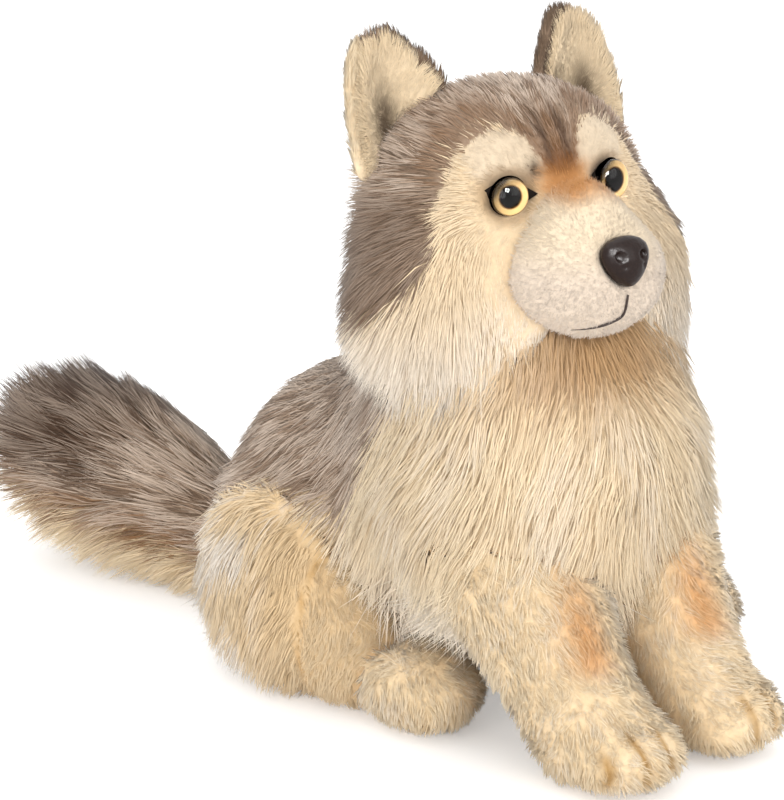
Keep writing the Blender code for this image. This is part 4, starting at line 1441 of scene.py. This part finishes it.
@dataclass(frozen=True)
class PlainFinish:
    """A finish of one colour with a fine grain: plastic, felt or thread."""

    name: str
    colour: tuple[float, float, float]
    roughness: float
    coat: float = 0.0
    grain: float = 900.0
    bump: float = 0.2
    shine: float = 0.5

    def material(self) -> bpy.types.Material:
        """Builds the node material."""
        made, shader = new_shader(self.name, {"Specular IOR Level": self.shine, "Coat Weight": self.coat,
                                              "Coat Roughness": 0.25})
        roughness = (self.roughness * 0.85, min(1.0, self.roughness * 1.15))
        grain = Grain(self.grain, 4.0, roughness, self.bump, 0.2 * MM).into(shader)
        tones = new_node(made.node_tree, "ValToRGB", {"Fac": grain})
        for element, position, level in zip(tones.color_ramp.elements, (0.30, 0.70), (0.8, 1.15)):
            element.position = position
            element.color = (*(min(1.0, channel * level) for channel in self.colour), 1.0)
        feed(shader, {"Base Color": tones.outputs["Color"]})
        return made


@dataclass(frozen=True)
class LensFinish:
    """Clear moulded plastic that lets the lamps through to the iris."""

    name: str = "eye_clear"

    def material(self) -> bpy.types.Material:
        """Builds the node material."""
        made, shader = new_shader(self.name, {"Base Color": WHITE, "Transmission Weight": 1.0, "IOR": 1.35,
                                              "Specular IOR Level": 0.35, "Roughness": 0.02})
        tree = made.node_tree
        path = new_node(tree, "LightPath", {})
        clear = new_node(tree, "BsdfTransparent", {})
        mixed = new_node(tree, "MixShader", {"Fac": path.outputs["Is Shadow Ray"], 1: shader.outputs["BSDF"],
                                             2: clear.outputs["BSDF"]})
        feed(tree.nodes["Material Output"], {"Surface": mixed.outputs["Shader"]})
        return made


@dataclass(frozen=True)
class IrisFinish:
    """The painted disc of one eye: a black pupil in a gold ring, with painted light: brown at its upper outer
    side, bright gold at its lower side.
    """

    name: str
    centre: tuple[float, float, float]
    # The side of the ring that is painted lit; the opposite side is painted in shade.
    painted_light_side: tuple[float, float, float]
    radius: float

    def material(self) -> bpy.types.Material:
        """Builds the node material."""
        made, shader = new_shader(self.name, {"Roughness": 0.9, "Specular IOR Level": 0.0})
        tree = made.node_tree
        place = new_node(tree, "TexCoord", {}).outputs["Object"]
        away = new_node(tree, "VectorMath", {0: place, 1: self.centre}, "SUBTRACT").outputs["Vector"]
        reach = new_node(tree, "VectorMath", {0: away}, "LENGTH")
        share = new_node(tree, "Math", {0: reach.outputs["Value"], 1: self.radius}, "DIVIDE")
        rings = new_node(tree, "ValToRGB", {"Fac": share.outputs["Value"]})
        elements = rings.color_ramp.elements
        for number, (position, colour) in enumerate(IRIS_RINGS):
            element = elements[number] if number < 2 else elements.new(position)
            element.color = (*colour, 1.0)
            element.position = position
        # Painted light: the rings run from near black on one side to brighter than their colour on the other,
        # as if the dome focused light on the disc.
        painted_light_lean = new_node(tree, "VectorMath", {0: away, 1: self.painted_light_side}, "DOT_PRODUCT")
        level = new_node(tree, "MapRange", {
            "Value": painted_light_lean.outputs["Value"], "From Min": -self.radius * 0.65, "From Max": self.radius * 0.55,
            "To Min": 0.06, "To Max": 1.25})
        toned = new_node(tree, "VectorMath", {0: rings.outputs["Color"], "Scale": level.outputs["Result"]},
                         "SCALE")
        feed(shader, {"Base Color": toned.outputs["Vector"]})
        return made


@dataclass(frozen=True)
class Finishes:
    """The finishes of the hard and flat pieces."""

    lens: bpy.types.Material
    felt: bpy.types.Material
    nose: bpy.types.Material
    washer: bpy.types.Material
    thread: bpy.types.Material

    @classmethod
    def make(cls) -> "Finishes":
        """Builds all of them."""
        return cls(
            lens=LensFinish().material(),
            felt=PlainFinish("eye_felt", tuple(FELT_BLACK), 0.95, grain=1500.0, bump=0.5, shine=0.1).material(),
            nose=PlainFinish("nose_leather", tuple(NOSE_BROWN), 0.36, coat=0.1, grain=1300.0, bump=0.6,
                             shine=0.2).material(),
            washer=PlainFinish("lock_washer", tuple(WASHER_WHITE), 0.5, bump=0.05).material(),
            thread=PlainFinish("mouth_thread", tuple(THREAD_BROWN), 0.8, grain=2500.0, bump=0.8).material(),
        )


def stand_in(name: str, mesh: bpy.types.Mesh, node: str, finish: bpy.types.Material) -> None:
    """Puts a finer piece in a node's place.

    Args:
        name: The piece's name.
        mesh: Its mesh, in the frame's own place.
        node: The node that it stands for.
        finish: Its material.
    """
    mesh.materials.clear()
    mesh.materials.append(finish)
    mesh.shade_smooth()
    thing = mesh_object(name, mesh)
    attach(thing, BODY)
    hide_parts(node)


def spun(profile: Sequence[tuple[float, float]], place: Matrix, name: str) -> bpy.types.Mesh:
    """A turned solid in place.

    Args:
        profile: Radius and height, from the axis over the outer side and back to the axis.
        place: The frame whose Z is the axis.
        name: The mesh's name.

    Returns:
        The mesh.
    """
    body = bmesh.new()
    points = [body.verts.new((radius, 0.0, height)) for radius, height in profile]
    for first, second in zip(points, points[1:]):
        body.edges.new((first, second))
    bmesh.ops.spin(body, geom=body.verts[:] + body.edges[:], cent=(0, 0, 0), axis=(0, 0, 1), angle=2 * math.pi,
                   steps=SPIN_STEPS, use_merge=True)
    bmesh.ops.remove_doubles(body, verts=body.verts, dist=WELD)
    bmesh.ops.recalc_face_normals(body, faces=body.faces)
    bmesh.ops.transform(body, matrix=place, verts=body.verts)
    return mesh_of(body, name)


class Eye:
    """One moulded eye: a clear dome over a painted disc, on a pointed felt."""

    def __init__(self, seat: EyeSeat, finishes: Finishes) -> None:
        """Keeps the eye's place and finishes."""
        self.seat = seat
        self.finishes = finishes

    def lens(self) -> None:
        """The dome, with a rounded rim."""
        radius, height = self.seat.radius, self.seat.dome
        rim = 0.4 * MM
        arc = [(radius * math.sin(turn), rim + (height - rim) * math.cos(turn))
               for turn in np.linspace(0.0, math.pi / 2, 14)]
        profile = [*arc, (radius, 0.0), (0.0, 0.0)]
        mesh = spun(profile, self.seat.matrix(), "lens")
        stand_in("lens_" + self.seat.word, mesh, "eye_lens_" + self.seat.word, self.finishes.lens)

    def iris(self) -> None:
        """The disc, its cup and its shank."""
        radius = self.seat.radius
        top = 0.25 * MM
        disc, cup, shank = radius - 0.1 * MM, radius + 0.3 * MM, 2.0 * MM
        profile = [(0.0, top), (disc, top), (disc, -0.2 * MM), (cup, -1.0 * MM), (radius * 0.8, -3.0 * MM),
                   (shank, -3.1 * MM), (shank, -13.0 * MM), (0.0, -14.0 * MM)]
        centre = tuple(self.seat.centre + self.seat.axis * top)
        # The painted light on the disc falls toward its lower side.
        painted_light_way = tuple(unit(self.seat.across * 0.75 - self.seat.rise * 0.65))
        finish = IrisFinish("iris_" + self.seat.word, centre, painted_light_way, radius)
        mesh = spun(profile, self.seat.matrix(), "iris")
        stand_in("iris_" + self.seat.word, mesh, "eye_iris_" + self.seat.word, finish.material())

    def felt(self) -> None:
        """The almond of felt, narrowed, and raised to just behind the painted disc where it lies deeper."""
        node = "eye_patch_" + self.seat.word
        mesh = merged_copy(node)
        body = bmesh.new()
        body.from_mesh(mesh)
        axis = Vector(self.seat.axis)
        front = [point for point in body.verts
                 if (point.co - Vector(self.seat.centre)).dot(axis) > self.seat.felt_top - 0.2 * MM]
        bmesh.ops.translate(body, vec=axis * max(0.0, -0.3 * MM - self.seat.felt_top), verts=front)
        place = self.seat.matrix()
        bmesh.ops.scale(body, vec=(1.0, 0.62, 1.0), space=place.inverted(), verts=body.verts)
        body.to_mesh(mesh)
        body.free()
        stand_in("felt_" + self.seat.word, mesh, node, self.finishes.felt)

    def washer(self) -> None:
        """The lock washer behind the cloth."""
        node = "eye_washer_" + self.seat.word
        stand_in("washer_" + self.seat.word, merged_copy(node), node, self.finishes.washer)

    def build(self) -> None:
        """Makes all of the eye."""
        self.lens()
        self.iris()
        self.felt()
        self.washer()


class Snout:
    """The nose, its washer and the stitched mouth."""

    def __init__(self, marks: Landmarks, finishes: Finishes) -> None:
        """Keeps the places and the finishes."""
        self.marks = marks
        self.finishes = finishes

    def nose(self) -> None:
        """The moulded nose, rounder than the frame's own."""
        thing = mesh_object("nose_pad", merged_copy("nose"))
        rebuild(thing, 0.55 * MM)
        soft = thing.modifiers.new("soft", "SMOOTH")
        soft.iterations = 3
        mesh = applied(thing)
        bpy.data.objects.remove(thing)
        points = places(mesh)
        for side in (-1, 1):
            pit = self.marks.nose + self.marks.across * side * 4.0 * MM + (0, 0, 2.6 * MM)
            away = points - pit
            ahead = away @ self.marks.forward
            reach = np.linalg.norm(away - ahead[:, None] * self.marks.forward, axis=1)
            dip = smoothstep(2.1 * MM, 0.5 * MM, reach) * (ahead > 0) * 1.8 * MM
            points -= dip[:, None] * (self.marks.forward - self.marks.across * side * 0.3)
        move_to(mesh, points)
        stand_in("nose_moulding", mesh, "nose", self.finishes.nose)

    def mouth(self) -> None:
        """The thread of the mouth, rounder and thinner than the frame's own."""
        thing = mesh_object("mouth_line", merged_copy("mouth_stitch"))
        round_off(thing)
        mesh = applied(thing)
        bpy.data.objects.remove(thing)
        points, normals = places(mesh), normals_of(mesh)
        left, _, _ = self.marks.on_head(points)
        points -= normals * ((0.20 + 0.30 * smoothstep(-4, -14, left)) * MM)[:, None]
        move_to(mesh, points)
        stand_in("mouth_thread", mesh, "mouth_stitch", self.finishes.thread)

    def build(self) -> None:
        """Makes the nose, the washer and the mouth."""
        self.nose()
        stand_in("nose_lock", merged_copy("nose_washer"), "nose_washer", self.finishes.washer)
        self.mouth()


@dataclass(frozen=True)
class Camera:
    """The camera at the photograph's viewing angle."""

    azimuth: float = math.radians(-42.0)
    elevation: float = math.radians(17.0)
    distance: float = 1.15
    target: tuple[float, float, float] = (-0.03746, -0.03341, 0.100)
    lens: float = 156.8

    def build(self) -> None:
        """Places the camera and makes it the scene's own."""
        back = Vector((
            math.sin(self.azimuth) * math.cos(self.elevation),
            -math.cos(self.azimuth) * math.cos(self.elevation),
            math.sin(self.elevation),
        ))
        data = bpy.data.cameras.new("camera")
        data.lens = self.lens
        data.clip_start = 0.05
        thing = bpy.data.objects.new("camera", data)
        thing.location = Vector(self.target) + back * self.distance
        thing.rotation_euler = back.to_track_quat("Z", "Y").to_euler()
        bpy.context.scene.collection.objects.link(thing)
        bpy.context.scene.camera = thing


class Studio:
    """A white floor under soft light."""

    def floor(self) -> None:
        """A wide white floor that keeps the soft shadow under the wolf."""
        body = bmesh.new()
        bmesh.ops.create_grid(body, x_segments=1, y_segments=1, size=4.0)
        mesh = mesh_of(body, "floor")
        thing = mesh_object("floor", mesh)
        made, shader = new_shader("floor_white", {"Base Color": FLOOR_GREY, "Roughness": 0.9,
                                                  "Specular IOR Level": 0.0, "Emission Color": WHITE})
        path = new_node(made.node_tree, "LightPath", {})
        seen = path.outputs["Is Camera Ray"]
        level = new_node(made.node_tree, "Math", {0: seen, 1: FLOOR_GLOW}, "MULTIPLY")
        feed(shader, {"Emission Strength": level.outputs["Value"]})
        mesh.materials.append(made)

    def sky(self) -> None:
        """White where the camera, a gloss or clear plastic looks, and a plain level of light elsewhere."""
        world = bpy.data.worlds.new("studio")
        bpy.context.scene.world = world
        world.use_nodes = True
        tree = world.node_tree
        path = new_node(tree, "LightPath", {})
        seen = path.outputs["Is Camera Ray"]
        for kind in ("Is Glossy Ray", "Is Transmission Ray"):
            seen = new_node(tree, "Math", {0: seen, 1: path.outputs[kind]}, "MAXIMUM").outputs["Value"]
        level = new_node(tree, "MapRange", {"Value": seen, "To Min": SKY_LEVEL, "To Max": 1.0})
        feed(tree.nodes["Background"], {"Color": WHITE, "Strength": level.outputs["Result"]})

    def lamp(self, name: str, place: Sequence[float], size: float, power: float) -> bpy.types.Object:
        """A square soft lamp that looks at the wolf.

        Args:
            name: The lamp's name.
            place: Where it stands.
            size: The side of its square.
            power: Its power in watts.

        Returns:
            The lamp.
        """
        data = bpy.data.lights.new(name, "AREA")
        data.size = size
        data.energy = power
        thing = bpy.data.objects.new(name, data)
        thing.location = place
        aim = Vector((0.0, -0.03, 0.1)) - thing.location
        thing.rotation_euler = aim.to_track_quat("-Z", "Y").to_euler()
        bpy.context.scene.collection.objects.link(thing)
        return thing

    def build(self) -> None:
        """Sets the floor, the sky and the lamps; the catchlight is seen only in what shines."""
        self.floor()
        self.sky()
        self.lamp("key", (0.1, -1.8, 1.1), 1.5, 11.0)
        self.lamp("fill", (-1.8, -0.8, 0.7), 1.5, 14.0)
        self.lamp("top", (0.0, 0.5, 1.8), 1.6, 7.0)
        self.lamp("back", (0.9, 1.6, 0.8), 1.5, 6.0)
        self.lamp("catchlight", (-1.0, -1.2, 1.3), 0.8, 80.0).visible_diffuse = False


def main() -> None:
    """Builds the wolf and its studio; the noise is seeded first, or it would take its seed from the clock."""
    logging.basicConfig(level=logging.INFO, format="%(name)s %(message)s")
    noise.seed_set(NOISE_SEED)
    bpy.context.scene.view_settings.view_transform = "Standard"
    bpy.context.scene.cycles.max_bounces = 16
    bpy.context.scene.cycles.diffuse_bounces = 8
    Camera().build()
    Studio().build()
    marks = Landmarks()
    soft = [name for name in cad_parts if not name.startswith(("eye", "nose", "mouth"))]
    around = Surroundings(soft)
    for seed, kind in enumerate((Torso, Head, Muzzle, Tail), start=1):
        kind(marks, around, seed).build()
    for base, word in ((10, "right"), (20, "left")):
        for seed, kind in enumerate((Haunch, Foreleg, HindFoot, EarBack, EarLining), start=base):
            kind(marks, around, seed, word).build()
    finishes = Finishes.make()
    for seat in marks.eyes:
        Eye(seat, finishes).build()
    Snout(marks, finishes).build()


if __name__ == "__main__":
    main()
